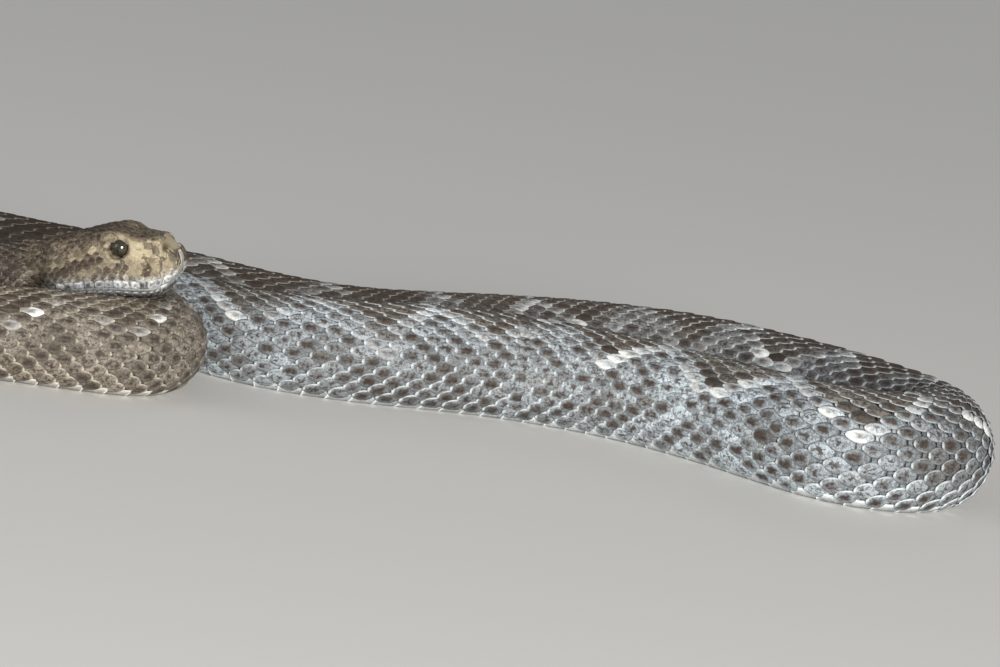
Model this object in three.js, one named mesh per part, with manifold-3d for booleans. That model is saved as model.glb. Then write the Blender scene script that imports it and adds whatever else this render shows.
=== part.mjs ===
// A western diamondback rattlesnake at rest, life size, lying in its own loops with its chin on the first one.
// Millimetres, +Z up. The origin is on the floor, under the middle of the whole animal's box.

import * as THREE from "three";
import { mergeVertices } from "three/addons/utils/BufferGeometryUtils.js";
import Module from "manifold-3d";

const wasm = await Module();
wasm.setup();

// Driving sizes
const HEAD_LENGTH = 47.2;
const HEAD_BACK = new THREE.Vector3(-81.7, -40, 26.5);
const HEAD_TURN_DEG = -14;
const HEAD_LIFT_DEG = 14.6;
const HEAD_ROLL_DEG = 4;
const EYE_DIAMETER = 5.6;
const EYE_X = 31.2;
const EYE_HEIGHT = 7.2;
const EYE_SEAT = 7.9; // from the head's middle plane to the middle of the eyeball
const EYE_RIM = 9.6;
const NOSTRIL = [44.6, 6, 6.6];
const HEAT_PIT = [39.2, 10.2, 1.6];
const LIP_PLATES = 8;
const LIP_PLATE_FROM = 42.5;
const LIP_PLATE_PITCH = 3.9;
const MOUTH_CORNER = 9;
const GAP = 0.3;
const BELLY_DROP = 0.88; // of the radius: from the axis down to the flat of the belly
const SCUTE_ENDS = [-0.9, -0.45]; // of the radius: the heights between which the belly scutes' ends show
const FLOOR_REACH = 0.3; // the belly's flats are levelled to the floor from this height
const SIDES = 18;
const SCUTE_PITCH = 10;
const SCUTE_STEP = 0.55; // how far a belly scute's hind edge stands over the root of the next
const SCUTE_EDGE = 0.8; // length of that edge along the body
const RATTLE_SEGMENTS = 8;
const RATTLE_SIDES = 12;
const RATTLE_PITCH = 2.9;
const RATTLE_HEIGHT = 11.4;
const RATTLE_WIDTH = 7.6;
const RATTLE_TAPER = 0.035; // share of its size that each segment loses against the one before it
const RATTLE_GROOVE = 0.16;

// Radius of the body against the share of its length from the back of the head
const GIRTH = [
  [0, 8.8], [0.04, 8.9], [0.09, 10.4], [0.13, 13.4], [0.16, 14.6], [0.2, 14.7], [0.3, 14.6], [0.44, 14.3],
  [0.52, 15.2], [0.58, 17.3], [0.62, 18.3], [0.65, 18.1], [0.69, 16.6], [0.76, 16.2], [0.8, 14.8],
  [0.85, 12.9], [0.88, 10.9], [0.92, 8.6], [0.96, 7.3], [1, 5.7],
];

// Named lengths of the body, by the share of the route where each one ends
const LENGTHS = [
  ["neck", 0.05], ["neck_turn", 0.105], ["body_first_arm", 0.158], ["body_first_loop", 0.222],
  ["body_second_arm", 0.268], ["body_left_turn", 0.342], ["body_back_left", 0.42], ["body_back_middle", 0.5],
  ["body_back_right", 0.575], ["body_right_bend", 0.668], ["body_front_right", 0.735],
  ["body_front_middle", 0.8], ["body_front_left", 0.868], ["body_hind", 0.925], ["tail", 1],
];

// Control points of an arc, pushed out so that a uniform cubic B-spline through them keeps the radius
function arc(centreX, centreY, radius, fromDeg, toDeg, steps) {
  const step = THREE.MathUtils.degToRad(toDeg - fromDeg) / steps;
  const reach = radius * 3 / (2 + Math.cos(step));
  const points = [];
  for (let i = 0; i <= steps; i += 1) {
    const angle = THREE.MathUtils.degToRad(fromDeg) + i * step;
    points.push([centreX + reach * Math.cos(angle), centreY + reach * Math.sin(angle), 0]);
  }
  return points;
}

// The route of the axis in plan, from the back of the head to the end of the tail.
// The third number is how far that stretch is lifted off the floor.
const ROUTE = [
  [-81.7, -40, 18.8], [-93, -38.6, 15.8], [-104, -41.3, 11.6], [-116, -46.6, 7], [-131, -52, 2.3],
  ...arc(-151, -68.5, 17, 95, 265, 4),
  [-128, -84.5, 0], [-105, -80, 0], [-86, -74.5, 0], [-72, -69.5, 0],
  ...arc(-61, -44.5, 20.3, -65, 85, 4),
  [-76, -18.5, 0], [-92, -16.5, 0], [-109, -17.5, 0],
  ...arc(-129, 10, 28, -90, -270, 5),
  [-103, 39.5, 0], [-81, 39, 0], [-58.5, 39, 0], [-36, 36, 0], [-15.5, 28, 0], [6, 27.5, 0],
  [25.5, 37, 0], [45, 53, 0], [66.5, 68, 0], [90, 79, 0], [113, 83, 0], [134.5, 74.5, 0], [153.5, 61, 0],
  [169.5, 47.5, 0],
  ...arc(166, 11.5, 26, 35, -115, 5),
  [138, -1, 0], [116.5, 11.5, 0], [93.5, 18, 0], [70, 17, 0], [47, 11, 0], [23.5, -1.5, 0], [2, -10, 0],
  [-19.5, -9.5, 0], [-37, 2.5, 0], [-57, 10, 0], [-78.5, 11, 0], [-100, 10.5, 0], [-119, 9.5, 5.5],
  [-132, 8.5, 20], [-145, 8, 31], [-157.5, 7.5, 34.5], [-171.5, 5.5, 30], [-186, -1, 17.5],
  [-198.5, -12, 5.5], [-204, -27, 0], [-204, -43, 0], [-199, -59, 0],
];

function smoothTable(table, at) {
  let i = 0;
  while (i < table.length - 2 && at > table[i + 1][0]) i += 1;
  const [x0, y0] = table[i];
  const [x1, y1] = table[i + 1];
  const t = THREE.MathUtils.clamp((at - x0) / (x1 - x0), 0, 1);
  const slope = (k) => {
    const a = table[Math.max(0, k - 1)];
    const b = table[Math.min(table.length - 1, k + 1)];
    return (b[1] - a[1]) / (b[0] - a[0]);
  };
  const width = x1 - x0;
  return (2 * t ** 3 - 3 * t ** 2 + 1) * y0 + (t ** 3 - 2 * t ** 2 + t) * width * slope(i)
    + (3 * t ** 2 - 2 * t ** 3) * y1 + (t ** 3 - t ** 2) * width * slope(i + 1);
}

// Uniform cubic B-spline that runs from the first control point to the last
class RouteCurve extends THREE.Curve {
  constructor(points) {
    super();
    const mirrored = (a, b) => a.map((value, k) => 2 * value - b[k]);
    const last = points.length - 1;
    this.points = [mirrored(points[0], points[1]), ...points, mirrored(points[last], points[last - 1])];
    this.arcLengthDivisions = 3000;
  }

  getPoint(u, target = new THREE.Vector3()) {
    const spans = this.points.length - 3;
    const i = Math.min(Math.floor(u * spans), spans - 1);
    const t = u * spans - i;
    const w = [(1 - t) ** 3, 3 * t ** 3 - 6 * t ** 2 + 4, -3 * t ** 3 + 3 * t ** 2 + 3 * t + 1, t ** 3];
    target.set(0, 0, 0);
    w.forEach((weight, j) => target.addScaledVector(new THREE.Vector3(...this.points[i + j]), weight / 6));
    return target;
  }
}

const route = new RouteCurve(ROUTE);
const routeLength = route.getLength();

function axisPoint(share) {
  const point = route.getPointAt(THREE.MathUtils.clamp(share, 0, 1));
  point.z += BELLY_DROP * smoothTable(GIRTH, share);
  return point;
}

// The body's cross section at a share of its length: centre, radius and the two directions across it
function crossSection(share) {
  const reach = 0.5 / routeLength;
  const ahead = axisPoint(Math.min(1, share + reach)).sub(axisPoint(Math.max(0, share - reach))).normalize();
  const side = new THREE.Vector3().crossVectors(ahead, new THREE.Vector3(0, 0, 1)).normalize();
  const up = new THREE.Vector3().crossVectors(side, ahead);
  return { centre: axisPoint(share), radius: smoothTable(GIRTH, share), side, up };
}

function closedGeometry(positions, triangles) {
  const geometry = new THREE.BufferGeometry();
  geometry.setAttribute("position", new THREE.Float32BufferAttribute(positions, 3));
  geometry.setIndex(triangles);
  return geometry;
}

// Rings of equal count joined into one closed surface, with a fan at each end
function loft(rings) {
  const count = rings[0].length;
  const positions = rings.flat().flatMap((p) => [p.x, p.y, p.z]);
  const triangles = [];
  for (let r = 0; r < rings.length - 1; r += 1) {
    for (let i = 0; i < count; i += 1) {
      const a = r * count + i;
      const b = r * count + (i + 1) % count;
      triangles.push(a, b, b + count, a, b + count, a + count);
    }
  }
  for (const [row, turned] of [[0, true], [rings.length - 1, false]]) {
    const middle = rings[row].reduce((sum, p) => sum.add(p), new THREE.Vector3()).divideScalar(count);
    const centre = positions.length / 3;
    positions.push(middle.x, middle.y, middle.z);
    for (let i = 0; i < count; i += 1) {
      const a = row * count + i;
      const b = row * count + (i + 1) % count;
      triangles.push(...(turned ? [b, a, centre] : [a, b, centre]));
    }
  }
  return closedGeometry(positions, triangles);
}

// A ring of the body's surface. The belly scutes' ends show on the low flanks, where a ring is sunk.
function bodyRing(share, sides = SIDES, sunk = 0) {
  const { centre, radius, side, up } = crossSection(share);
  const ring = [];
  for (let i = 0; i < sides; i += 1) {
    const angle = 2 * Math.PI * i / sides;
    const low = Math.cos(angle) > SCUTE_ENDS[0] && Math.cos(angle) < SCUTE_ENDS[1];
    const reach = radius - (low ? sunk : 0);
    const across = reach * Math.sin(angle);
    const height = Math.max(reach * Math.cos(angle), -BELLY_DROP * radius);
    const point = centre.clone().addScaledVector(side, across).addScaledVector(up, height);
    point.z = point.z < FLOOR_REACH ? 0 : point.z;
    ring.push(point);
  }
  return ring;
}

function bodyLength(from, to) {
  const start = from + GAP / 2 / routeLength;
  const end = to - GAP / 2 / routeLength;
  const scutes = Math.max(3, Math.round((end - start) * routeLength / SCUTE_PITCH));
  const edge = SCUTE_EDGE / routeLength;
  const rings = [bodyRing(start)];
  for (let i = 1; i < scutes; i += 1) {
    const share = start + (end - start) * i / scutes;
    rings.push(bodyRing(share - edge / 2), bodyRing(share + edge / 2, SIDES, SCUTE_STEP));
  }
  return loft([...rings, bodyRing(end)]);
}

// Solids for joining and cutting
function solid(geometry) {
  const bare = geometry.clone();
  bare.deleteAttribute("normal");
  bare.deleteAttribute("uv");
  const merged = mergeVertices(bare, 1e-4);
  const vertProperties = new Float32Array(merged.attributes.position.array);
  const triVerts = new Uint32Array(merged.index.array);
  return new wasm.Manifold(new wasm.Mesh({ numProp: 3, vertProperties, triVerts }));
}

function pieces(body) {
  return body.decompose().sort((a, b) => b.volume() - a.volume());
}

function geometryOf(body) {
  const mesh = body.getMesh();
  return closedGeometry(Array.from(mesh.vertProperties), Array.from(mesh.triVerts));
}

// Sizes of the head at stations from the neck joint to the tip of the snout, for a head 47 long:
// height and half width of the crown, half width and height of the cheek, half width and height of
// the lips, half width of the lower jaw and height of its underside
const STATION_LENGTH = 47;
const HEAD_STATIONS = {
  crown: [
    [0, 7.4], [6, 8.4], [12, 9.4], [20, 11], [25.5, 12], [28.5, 12.1], [31, 11.5], [34, 10.3], [38, 9.5],
    [41, 9.2], [43.5, 8.8], [45.7, 7.6], [47, 5.3],
  ],
  crownHalf: [
    [0, 5], [6, 6.8], [12, 8.6], [20, 9.3], [28, 9.3], [34, 8.7], [40, 7.5], [44, 6.4], [46, 5], [47, 3.4],
  ],
  cheekHalf: [
    [0, 8.8], [6, 11.6], [12, 15.4], [17, 16.7], [22, 15.6], [28, 13], [34, 11.2], [40, 9.6], [44, 8.2],
    [46, 6.4], [47, 4.4],
  ],
  cheek: [[0, 0], [12, -0.5], [24, -0.6], [34, 0.5], [47, 1.5]],
  lipHalf: [
    [0, 8.2], [6, 10.6], [12, 14], [17, 15.2], [22, 14.2], [28, 12.1], [34, 10.7], [40, 9.3], [44, 7.9],
    [46, 6], [47, 4],
  ],
  lip: [[0, -3.4], [12, -4], [20, -3.6], [28, -4], [36, -5], [41, -5.1], [44, -4.5], [47, -3.4]],
  jawHalf: [
    [0, 6.2], [6, 7.4], [12, 8.3], [20, 8.1], [28, 7], [34, 6.2], [40, 5.2], [44, 4.2], [46, 3], [47, 2.2],
  ],
  jaw: [
    [0, -7], [6, -7.5], [12, -7.9], [20, -8], [28, -7.8], [34, -7.9], [40, -7.8], [44, -7.4], [46, -6.9],
    [47, -6.3],
  ],
};
const HEAD_SHARES = [
  0.07, 0.13, 0.19, 0.27, 0.36, 0.44, 0.52, 0.58, 0.64, 0.7, 0.76, 0.82, 0.88, 0.93, 0.97, 1,
];
const HEAD_AROUND = 26;
const SNOUT_FROM = 36; // from this station the profile draws back above and below the tip of the snout
const SNOUT_TIP_HEIGHT = 2;
const SNOUT_HALF_HEIGHT = 7;
const SNOUT_ROUND = 4.6;
const SNOUT_EASE = 0.35; // flattens the profile's upper and lower ends
const SNOUT_CAPS = [[0.62, 0.15], [0.12, 0.2]]; // the end's rings: share of the last section, set forward by
const NECK_LIKE = 0.75; // how much the first section of the head takes from the neck's
const NECK_LIKE_REACH = 0.21; // of the head's length

// Half outline of the head's section at x, from the middle of the crown down to the middle of the throat
function headHalfSection(x) {
  const size = {};
  for (const [name, table] of Object.entries(HEAD_STATIONS)) size[name] = smoothTable(table, x);
  const points = [
    [0, size.crown], [size.crownHalf * 0.62, size.crown - 0.1], [size.crownHalf, size.crown - 1.1],
    [size.crownHalf + (size.cheekHalf - size.crownHalf) * 0.34, size.crown * 0.58 + size.cheek * 0.42],
    [size.cheekHalf, size.cheek], [size.lipHalf, size.lip],
    [size.jawHalf + (size.lipHalf - size.jawHalf) * 0.45, size.lip * 0.3 + size.jaw * 0.7],
    [size.jawHalf * 0.6, size.jaw], [0, size.jaw],
  ];
  return new THREE.CatmullRomCurve3(points.map(([y, z]) => new THREE.Vector3(0, y, z)), false, "centripetal");
}

function snoutSetBack(x, z) {
  const share = THREE.MathUtils.clamp((x - SNOUT_FROM) / (STATION_LENGTH - SNOUT_FROM), 0, 1);
  const away = ((z - SNOUT_TIP_HEIGHT) / SNOUT_HALF_HEIGHT) ** 2;
  return SNOUT_ROUND * share ** 2 * away / (1 + SNOUT_EASE * away);
}

function headRing(x) {
  const half = headHalfSection(x);
  const ring = [];
  for (let i = 0; i < HEAD_AROUND; i += 1) {
    const along = 2 * i / HEAD_AROUND;
    const point = half.getPointAt(along <= 1 ? along : 2 - along);
    const station = x - snoutSetBack(x, point.z);
    ring.push(new THREE.Vector3(station, along <= 1 ? -point.y : point.y, point.z));
  }
  return ring;
}

function headMatrix() {
  const turn = new THREE.Euler(
    THREE.MathUtils.degToRad(HEAD_ROLL_DEG),
    THREE.MathUtils.degToRad(-HEAD_LIFT_DEG),
    THREE.MathUtils.degToRad(HEAD_TURN_DEG),
    "ZYX",
  );
  const size = HEAD_LENGTH / STATION_LENGTH;
  const turned = new THREE.Matrix4().makeRotationFromEuler(turn);
  return turned.scale(new THREE.Vector3(size, size, size)).setPosition(HEAD_BACK);
}

// The back of the head takes the neck's own first section, a gap away from it and counted the other way round
function neckRing() {
  const { side, up } = crossSection(0);
  const ahead = new THREE.Vector3().crossVectors(side, up).multiplyScalar(GAP);
  const inverse = headMatrix().invert();
  const ring = bodyRing(0, HEAD_AROUND).map((point) => point.add(ahead).applyMatrix4(inverse));
  return [ring[0], ...ring.slice(1).reverse()];
}

// The rounded end of the snout: the last section again, drawn in towards its middle and set forward
function snoutCap(shrink, forward) {
  return headRing(STATION_LENGTH).map((p) => {
    const z = SNOUT_TIP_HEIGHT + (p.z - SNOUT_TIP_HEIGHT) * shrink;
    return new THREE.Vector3(STATION_LENGTH + forward - snoutSetBack(STATION_LENGTH, z), p.y * shrink, z);
  });
}

// Behind the cheeks the head's section passes over into the neck's
function headLoft() {
  const joint = neckRing();
  const rings = HEAD_SHARES.map((share) => {
    const likeNeck = NECK_LIKE * Math.max(0, 1 - share / NECK_LIKE_REACH);
    return headRing(share * STATION_LENGTH).map((p, i) => p.lerp(joint[i].clone().setX(p.x), likeNeck));
  });
  return loft([joint, ...rings, ...SNOUT_CAPS.map(([shrink, forward]) => snoutCap(shrink, forward))]);
}

function ball(x, y, z, sizeX, sizeY, sizeZ) {
  return new THREE.SphereGeometry(1, 14, 9).scale(sizeX, sizeY, sizeZ).translate(x, y, z);
}

// A thin curved slab that parts the lower jaw from the head along the lips, and down behind the jaw's corner
function mouthSlab() {
  const upper = [];
  for (let x = STATION_LENGTH + 3; x >= MOUTH_CORNER; x -= 3) {
    upper.push([x, smoothTable(HEAD_STATIONS.lip, Math.min(x, STATION_LENGTH))]);
  }
  upper.push([MOUTH_CORNER - 2, -5.5], [MOUTH_CORNER - 3.5, -14]);
  const outline = [
    ...upper.map(([x, z]) => new THREE.Vector2(x, z + GAP / 2)),
    ...upper.reverse().map(([x, z]) => new THREE.Vector2(x + (z < -5.2 ? GAP * 1.3 : 0), z - GAP / 2)),
  ];
  const slab = new THREE.ExtrudeGeometry(new THREE.Shape(outline), { depth: 50, bevelEnabled: false });
  return slab.rotateX(Math.PI / 2).translate(0, 25, 0);
}

// Plates along the lips: a row above the line of the mouth and one below it, back from the snout
function lipPlates(sign) {
  const plates = [];
  for (let i = 0; i < LIP_PLATES; i += 1) {
    const x = LIP_PLATE_FROM - i * LIP_PLATE_PITCH;
    const lip = smoothTable(HEAD_STATIONS.lip, x);
    const half = smoothTable(HEAD_STATIONS.lipHalf, x);
    const plate = new THREE.SphereGeometry(1, 10, 6).scale(LIP_PLATE_PITCH * 0.56, 1.2, 2.2);
    plates.push(plate.translate(x, sign * (half - 0.45), lip + 2.1));
  }
  return plates;
}

function headParts() {
  let whole = solid(headLoft());
  const rostral = ball(46.1, 0, -0.2, 1.4, 2.3, 3);
  whole = whole.add(solid(rostral));
  const socket = EYE_DIAMETER / 2 + GAP;
  for (const sign of [-1, 1]) {
    const brow = ball(EYE_X - 1.4, sign * 8, 10.7, 5.2, 3, 1.5);
    whole = whole.add(solid(brow));
    const lids = new THREE.TorusGeometry(EYE_DIAMETER / 2 + 0.7, 0.6, 6, 18).rotateX(Math.PI / 2);
    whole = whole.add(solid(lids.translate(EYE_X, sign * EYE_RIM, EYE_HEIGHT)));
    for (const plate of lipPlates(sign)) whole = whole.add(solid(plate));
    whole = whole.subtract(solid(ball(EYE_X, sign * EYE_SEAT, EYE_HEIGHT, socket, socket, socket)));
    whole = whole.subtract(solid(ball(NOSTRIL[0], sign * NOSTRIL[1], NOSTRIL[2], 0.9, 1.5, 1.2)));
    whole = whole.subtract(solid(ball(HEAT_PIT[0], sign * HEAT_PIT[1], HEAT_PIT[2], 1.4, 1.6, 1.3)));
  }
  const [upper, jaw] = pieces(whole.subtract(solid(mouthSlab())));
  return { upper, jaw };
}

// The rattle: hollow-looking segments that overlap, each pinched at its root and grooved along the flank
function rattle() {
  const start = crossSection(1);
  const ahead = new THREE.Vector3().crossVectors(start.up, start.side).normalize();
  const rings = [];
  const shape = [[0.02, 0.72], [0.3, 0.98], [0.62, 1], [0.93, 0.86]];
  for (let segment = 0; segment < RATTLE_SEGMENTS; segment += 1) {
    const size = 1 - RATTLE_TAPER * segment;
    for (const [along, swell] of shape) {
      const distance = GAP + (segment + along) * RATTLE_PITCH;
      const ring = [];
      for (let i = 0; i < RATTLE_SIDES; i += 1) {
        const angle = 2 * Math.PI * i / RATTLE_SIDES;
        const groove = 1 - RATTLE_GROOVE * Math.sin(angle) ** 6;
        const across = RATTLE_WIDTH / 2 * Math.sin(angle) * swell * size * groove;
        const height = RATTLE_HEIGHT / 2 * Math.cos(angle) * swell * size;
        const point = start.centre.clone().addScaledVector(ahead, distance);
        point.addScaledVector(start.side, across).addScaledVector(start.up, height);
        point.z += RATTLE_HEIGHT / 2 * size - start.centre.z;
        point.z = Math.max(point.z, 0);
        ring.push(point);
      }
      rings.push(ring);
    }
  }
  return loft(rings);
}

function mesh(name, geometry, colour, roughness) {
  const material = new THREE.MeshStandardMaterial({ color: colour, roughness, metalness: 0 });
  const part = new THREE.Mesh(geometry, material);
  part.name = name;
  return part;
}

const COLOURS = {
  flank: 0x9a8a78, back: 0x6f6655, head: 0x93856a, jaw: 0xb9b3a8, eye: 0x1c1712, rattle: 0x8a7a55,
};

const snake = new THREE.Group();
let from = 0;
for (const [name, to] of LENGTHS) {
  snake.add(mesh(name, bodyLength(from, to), name.includes("back") ? COLOURS.back : COLOURS.flank, 0.62));
  from = to;
}

const head = new THREE.Group();
headMatrix().decompose(head.position, head.quaternion, head.scale);
const { upper, jaw } = headParts();
head.add(mesh("head", geometryOf(upper), COLOURS.head, 0.55));
head.add(mesh("jaw", geometryOf(jaw), COLOURS.jaw, 0.55));
for (const [name, sign] of [["eye_right", -1], ["eye_left", 1]]) {
  const radius = EYE_DIAMETER / 2;
  const eyeball = ball(EYE_X, sign * EYE_SEAT, EYE_HEIGHT, radius, radius, radius);
  head.add(mesh(name, mergeVertices(eyeball), COLOURS.eye, 0.15));
}
snake.add(head);
snake.add(mesh("rattle", rattle(), COLOURS.rattle, 0.45));

export default snake;
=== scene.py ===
import math
import bmesh
import bpy
import numpy as np
from mathutils import Matrix, Vector
from mathutils.bvhtree import BVHTree


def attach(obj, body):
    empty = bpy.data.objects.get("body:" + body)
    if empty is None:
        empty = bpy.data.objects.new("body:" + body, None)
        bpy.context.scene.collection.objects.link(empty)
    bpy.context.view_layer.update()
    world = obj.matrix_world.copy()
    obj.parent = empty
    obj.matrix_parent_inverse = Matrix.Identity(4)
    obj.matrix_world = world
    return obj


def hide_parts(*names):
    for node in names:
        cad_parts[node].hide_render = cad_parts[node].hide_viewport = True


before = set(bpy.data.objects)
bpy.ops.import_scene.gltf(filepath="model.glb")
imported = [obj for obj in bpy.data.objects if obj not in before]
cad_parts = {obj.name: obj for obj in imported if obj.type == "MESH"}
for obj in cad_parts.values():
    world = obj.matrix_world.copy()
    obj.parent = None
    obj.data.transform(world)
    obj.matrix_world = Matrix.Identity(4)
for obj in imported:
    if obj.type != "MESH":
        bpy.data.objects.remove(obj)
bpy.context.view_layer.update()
MM = 0.001

# Camera. A long lens from a little above the floor, rolled a little so that the level animal falls
# away to the right as it is framed in the photograph.
AIM = Vector((57.6, 146.1, 0.0)) * MM
CAMERA_REACH = 2.5
CAMERA_LIFT = math.radians(10.5)
CAMERA_ROLL = math.radians(11.0)
FIELD_WIDTH = 0.318
SENSOR_WIDTH = 36
looking = Vector((0, math.cos(CAMERA_LIFT), -math.sin(CAMERA_LIFT)))
level = Vector((1, 0, 0))
upright = Vector((0, math.sin(CAMERA_LIFT), math.cos(CAMERA_LIFT)))
rightward = math.cos(CAMERA_ROLL) * level + math.sin(CAMERA_ROLL) * upright
upward = -math.sin(CAMERA_ROLL) * level + math.cos(CAMERA_ROLL) * upright


def add_object(name, data):
    made = bpy.data.objects.new(name, data)
    bpy.context.scene.collection.objects.link(made)
    return made


camera_data = bpy.data.cameras.new("camera")
camera_data.sensor_width = SENSOR_WIDTH
camera_data.lens = SENSOR_WIDTH * CAMERA_REACH / FIELD_WIDTH
camera_data.clip_start, camera_data.clip_end = 0.1, 60
camera = add_object("camera", camera_data)
turn = Matrix((rightward, upward, -looking)).transposed().to_4x4()
camera.matrix_world = Matrix.Translation(AIM - looking * CAMERA_REACH) @ turn
bpy.context.scene.camera = camera

# Floor and light. A plain pale floor, a broad soft key from low on the camera's right, a wide weak
# fill from the left and a faint rim from behind, in a pale room.
FLOOR_HALF = 12.0


def new_finish(name):
    """A material, with its node tree and its shader."""
    finish = bpy.data.materials.new(name)
    finish.use_nodes = True
    return finish, finish.node_tree, finish.node_tree.nodes["Principled BSDF"]


floor_mesh = bpy.data.meshes.new("floor")
corners = [(x * FLOOR_HALF, y * FLOOR_HALF, 0) for x, y in ((-1, -1), (1, -1), (1, 1), (-1, 1))]
floor_mesh.from_pydata(corners, [], [(0, 1, 2, 3)])
floor = add_object("floor", floor_mesh)
floor_finish, _, floor_shader = new_finish("floor finish")
floor_shader.inputs["Base Color"].default_value = (0.78, 0.765, 0.74, 1)
floor_shader.inputs["Roughness"].default_value = 0.85
floor_mesh.materials.append(floor_finish)


def soft_light(name, place, size, power, tint):
    """A round lamp that is aimed at the floor under the animal."""
    lamp = bpy.data.lights.new(name, "AREA")
    lamp.shape, lamp.size, lamp.energy, lamp.color = "DISK", size, power, tint
    holder = add_object(name, lamp)
    holder.location = place
    holder.rotation_euler = (-Vector(place)).to_track_quat("-Z", "Y").to_euler()


soft_light("key light", (0.9, -2.5, 0.72), 1.0, 92, (1.0, 0.99, 0.96))
soft_light("fill light", (-2.2, -1.6, 0.9), 2.0, 12, (0.94, 0.97, 1.0))
soft_light("rim light", (0.6, 2.4, 1.4), 1.2, 4, (1.0, 1.0, 1.0))
room = bpy.data.worlds.new("room")
room.use_nodes = True
sky = room.node_tree.nodes["Background"].inputs
sky["Color"].default_value = (0.86, 0.88, 0.9, 1)
sky["Strength"].default_value = 0.26
bpy.context.scene.world = room
bpy.context.scene.view_settings.view_transform = "Standard"

# The body's form. One tube runs from the back of the head to the rattle: a route of arcs and easy
# curves on the floor, and a girth that swells at mid-body. Millimetres, as in the solids.
BELLY_DROP = 0.88
GIRTH = [
    (0, 8.8), (0.04, 8.9), (0.09, 10.4), (0.13, 13.4), (0.16, 14.6), (0.2, 14.7), (0.3, 14.6), (0.44, 14.3),
    (0.52, 15.2), (0.58, 17.3), (0.62, 18.3), (0.65, 18.1), (0.69, 16.6), (0.76, 16.2), (0.8, 14.8),
    (0.85, 12.9), (0.88, 10.9), (0.92, 8.6), (0.96, 7.3), (1, 5.7),
]


def arc(centre_x, centre_y, radius, from_deg, to_deg, steps):
    step = math.radians(to_deg - from_deg) / steps
    reach = radius * 3 / (2 + math.cos(step))
    angles = [math.radians(from_deg) + i * step for i in range(steps + 1)]
    return [(centre_x + reach * math.cos(t), centre_y + reach * math.sin(t), 0) for t in angles]


ROUTE = [
    (-81.7, -40, 18.8), (-93, -38.6, 15.8), (-104, -41.3, 11.6), (-116, -46.6, 7), (-131, -52, 2.3),
    *arc(-151, -68.5, 17, 95, 265, 4),
    (-128, -84.5, 0), (-105, -80, 0), (-86, -74.5, 0), (-72, -69.5, 0),
    *arc(-61, -44.5, 20.3, -65, 85, 4), (-76, -18.5, 0), (-92, -16.5, 0), (-109, -17.5, 0),
    *arc(-129, 10, 28, -90, -270, 5),
    (-103, 39.5, 0), (-81, 39, 0), (-58.5, 39, 0), (-36, 36, 0), (-15.5, 28, 0), (6, 27.5, 0),
    (25.5, 37, 0), (45, 53, 0), (66.5, 68, 0), (90, 79, 0), (113, 83, 0), (134.5, 74.5, 0), (153.5, 61, 0),
    (169.5, 47.5, 0),
    *arc(166, 11.5, 26, 35, -115, 5),
    (138, -1, 0), (116.5, 11.5, 0), (93.5, 18, 0), (70, 17, 0), (47, 11, 0), (23.5, -1.5, 0), (2, -10, 0),
    (-19.5, -9.5, 0), (-37, 2.5, 0), (-57, 10, 0), (-78.5, 11, 0), (-100, 10.5, 0), (-119, 9.5, 5.5),
    (-132, 8.5, 20), (-145, 8, 31), (-157.5, 7.5, 34.5), (-171.5, 5.5, 30), (-186, -1, 17.5),
    (-198.5, -12, 5.5), (-204, -27, 0), (-204, -43, 0), (-199, -59, 0),
]


def smooth_table(table, at):
    """A smooth line through a table of sizes, read at many places at once."""
    xs, ys = np.array(table, float).T
    at = np.clip(np.asarray(at, float), xs[0], xs[-1])
    i = np.clip(np.searchsorted(xs, at, side="left") - 1, 0, len(xs) - 2)
    before, after = np.maximum(np.arange(len(xs)) - 1, 0), np.minimum(np.arange(len(xs)) + 1, len(xs) - 1)
    slope = (ys[after] - ys[before]) / (xs[after] - xs[before])
    width = xs[i + 1] - xs[i]
    t = (at - xs[i]) / width
    return ((2 * t**3 - 3 * t**2 + 1) * ys[i] + (t**3 - 2 * t**2 + t) * width * slope[i]
            + (3 * t**2 - 2 * t**3) * ys[i + 1] + (t**3 - t**2) * width * slope[i + 1])


def route_samples(points, count):
    p = np.array(points, float)
    p = np.vstack([2 * p[0] - p[1], p, 2 * p[-1] - p[-2]])
    spans = len(p) - 3
    u = np.linspace(0, spans, count + 1)
    i = np.minimum(u.astype(int), spans - 1)
    t = (u - i)[:, None]
    return ((1 - t) ** 3 * p[i] + (3 * t**3 - 6 * t**2 + 4) * p[i + 1]
            + (-3 * t**3 + 3 * t**2 + 3 * t + 1) * p[i + 2] + t**3 * p[i + 3]) / 6


def unit(v):
    return v / np.linalg.norm(v, axis=-1, keepdims=True)


track = route_samples(ROUTE, 3000)
travelled = np.concatenate([[0], np.cumsum(np.linalg.norm(np.diff(track, axis=0), axis=1))])
LENGTH = travelled[-1]
STATIONS = np.linspace(0, LENGTH, 2601)
axis_line = np.column_stack([np.interp(STATIONS, travelled, track[:, k]) for k in range(3)])
axis_line[:, 2] += BELLY_DROP * smooth_table(GIRTH, STATIONS / LENGTH)
ahead_line = unit(np.gradient(axis_line, axis=0))
side_line = unit(np.cross(ahead_line, [0, 0, 1]))
up_line = np.cross(side_line, ahead_line)


def along_body(line, distance):
    return np.stack([np.interp(distance, STATIONS, line[:, k]) for k in range(3)], axis=-1)


def girth(distance):
    return smooth_table(GIRTH, np.asarray(distance) / LENGTH)


COAT = 0.85
BELLY_CLEAR = 0.5
FLOOR_CLEAR = 0.04


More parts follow.
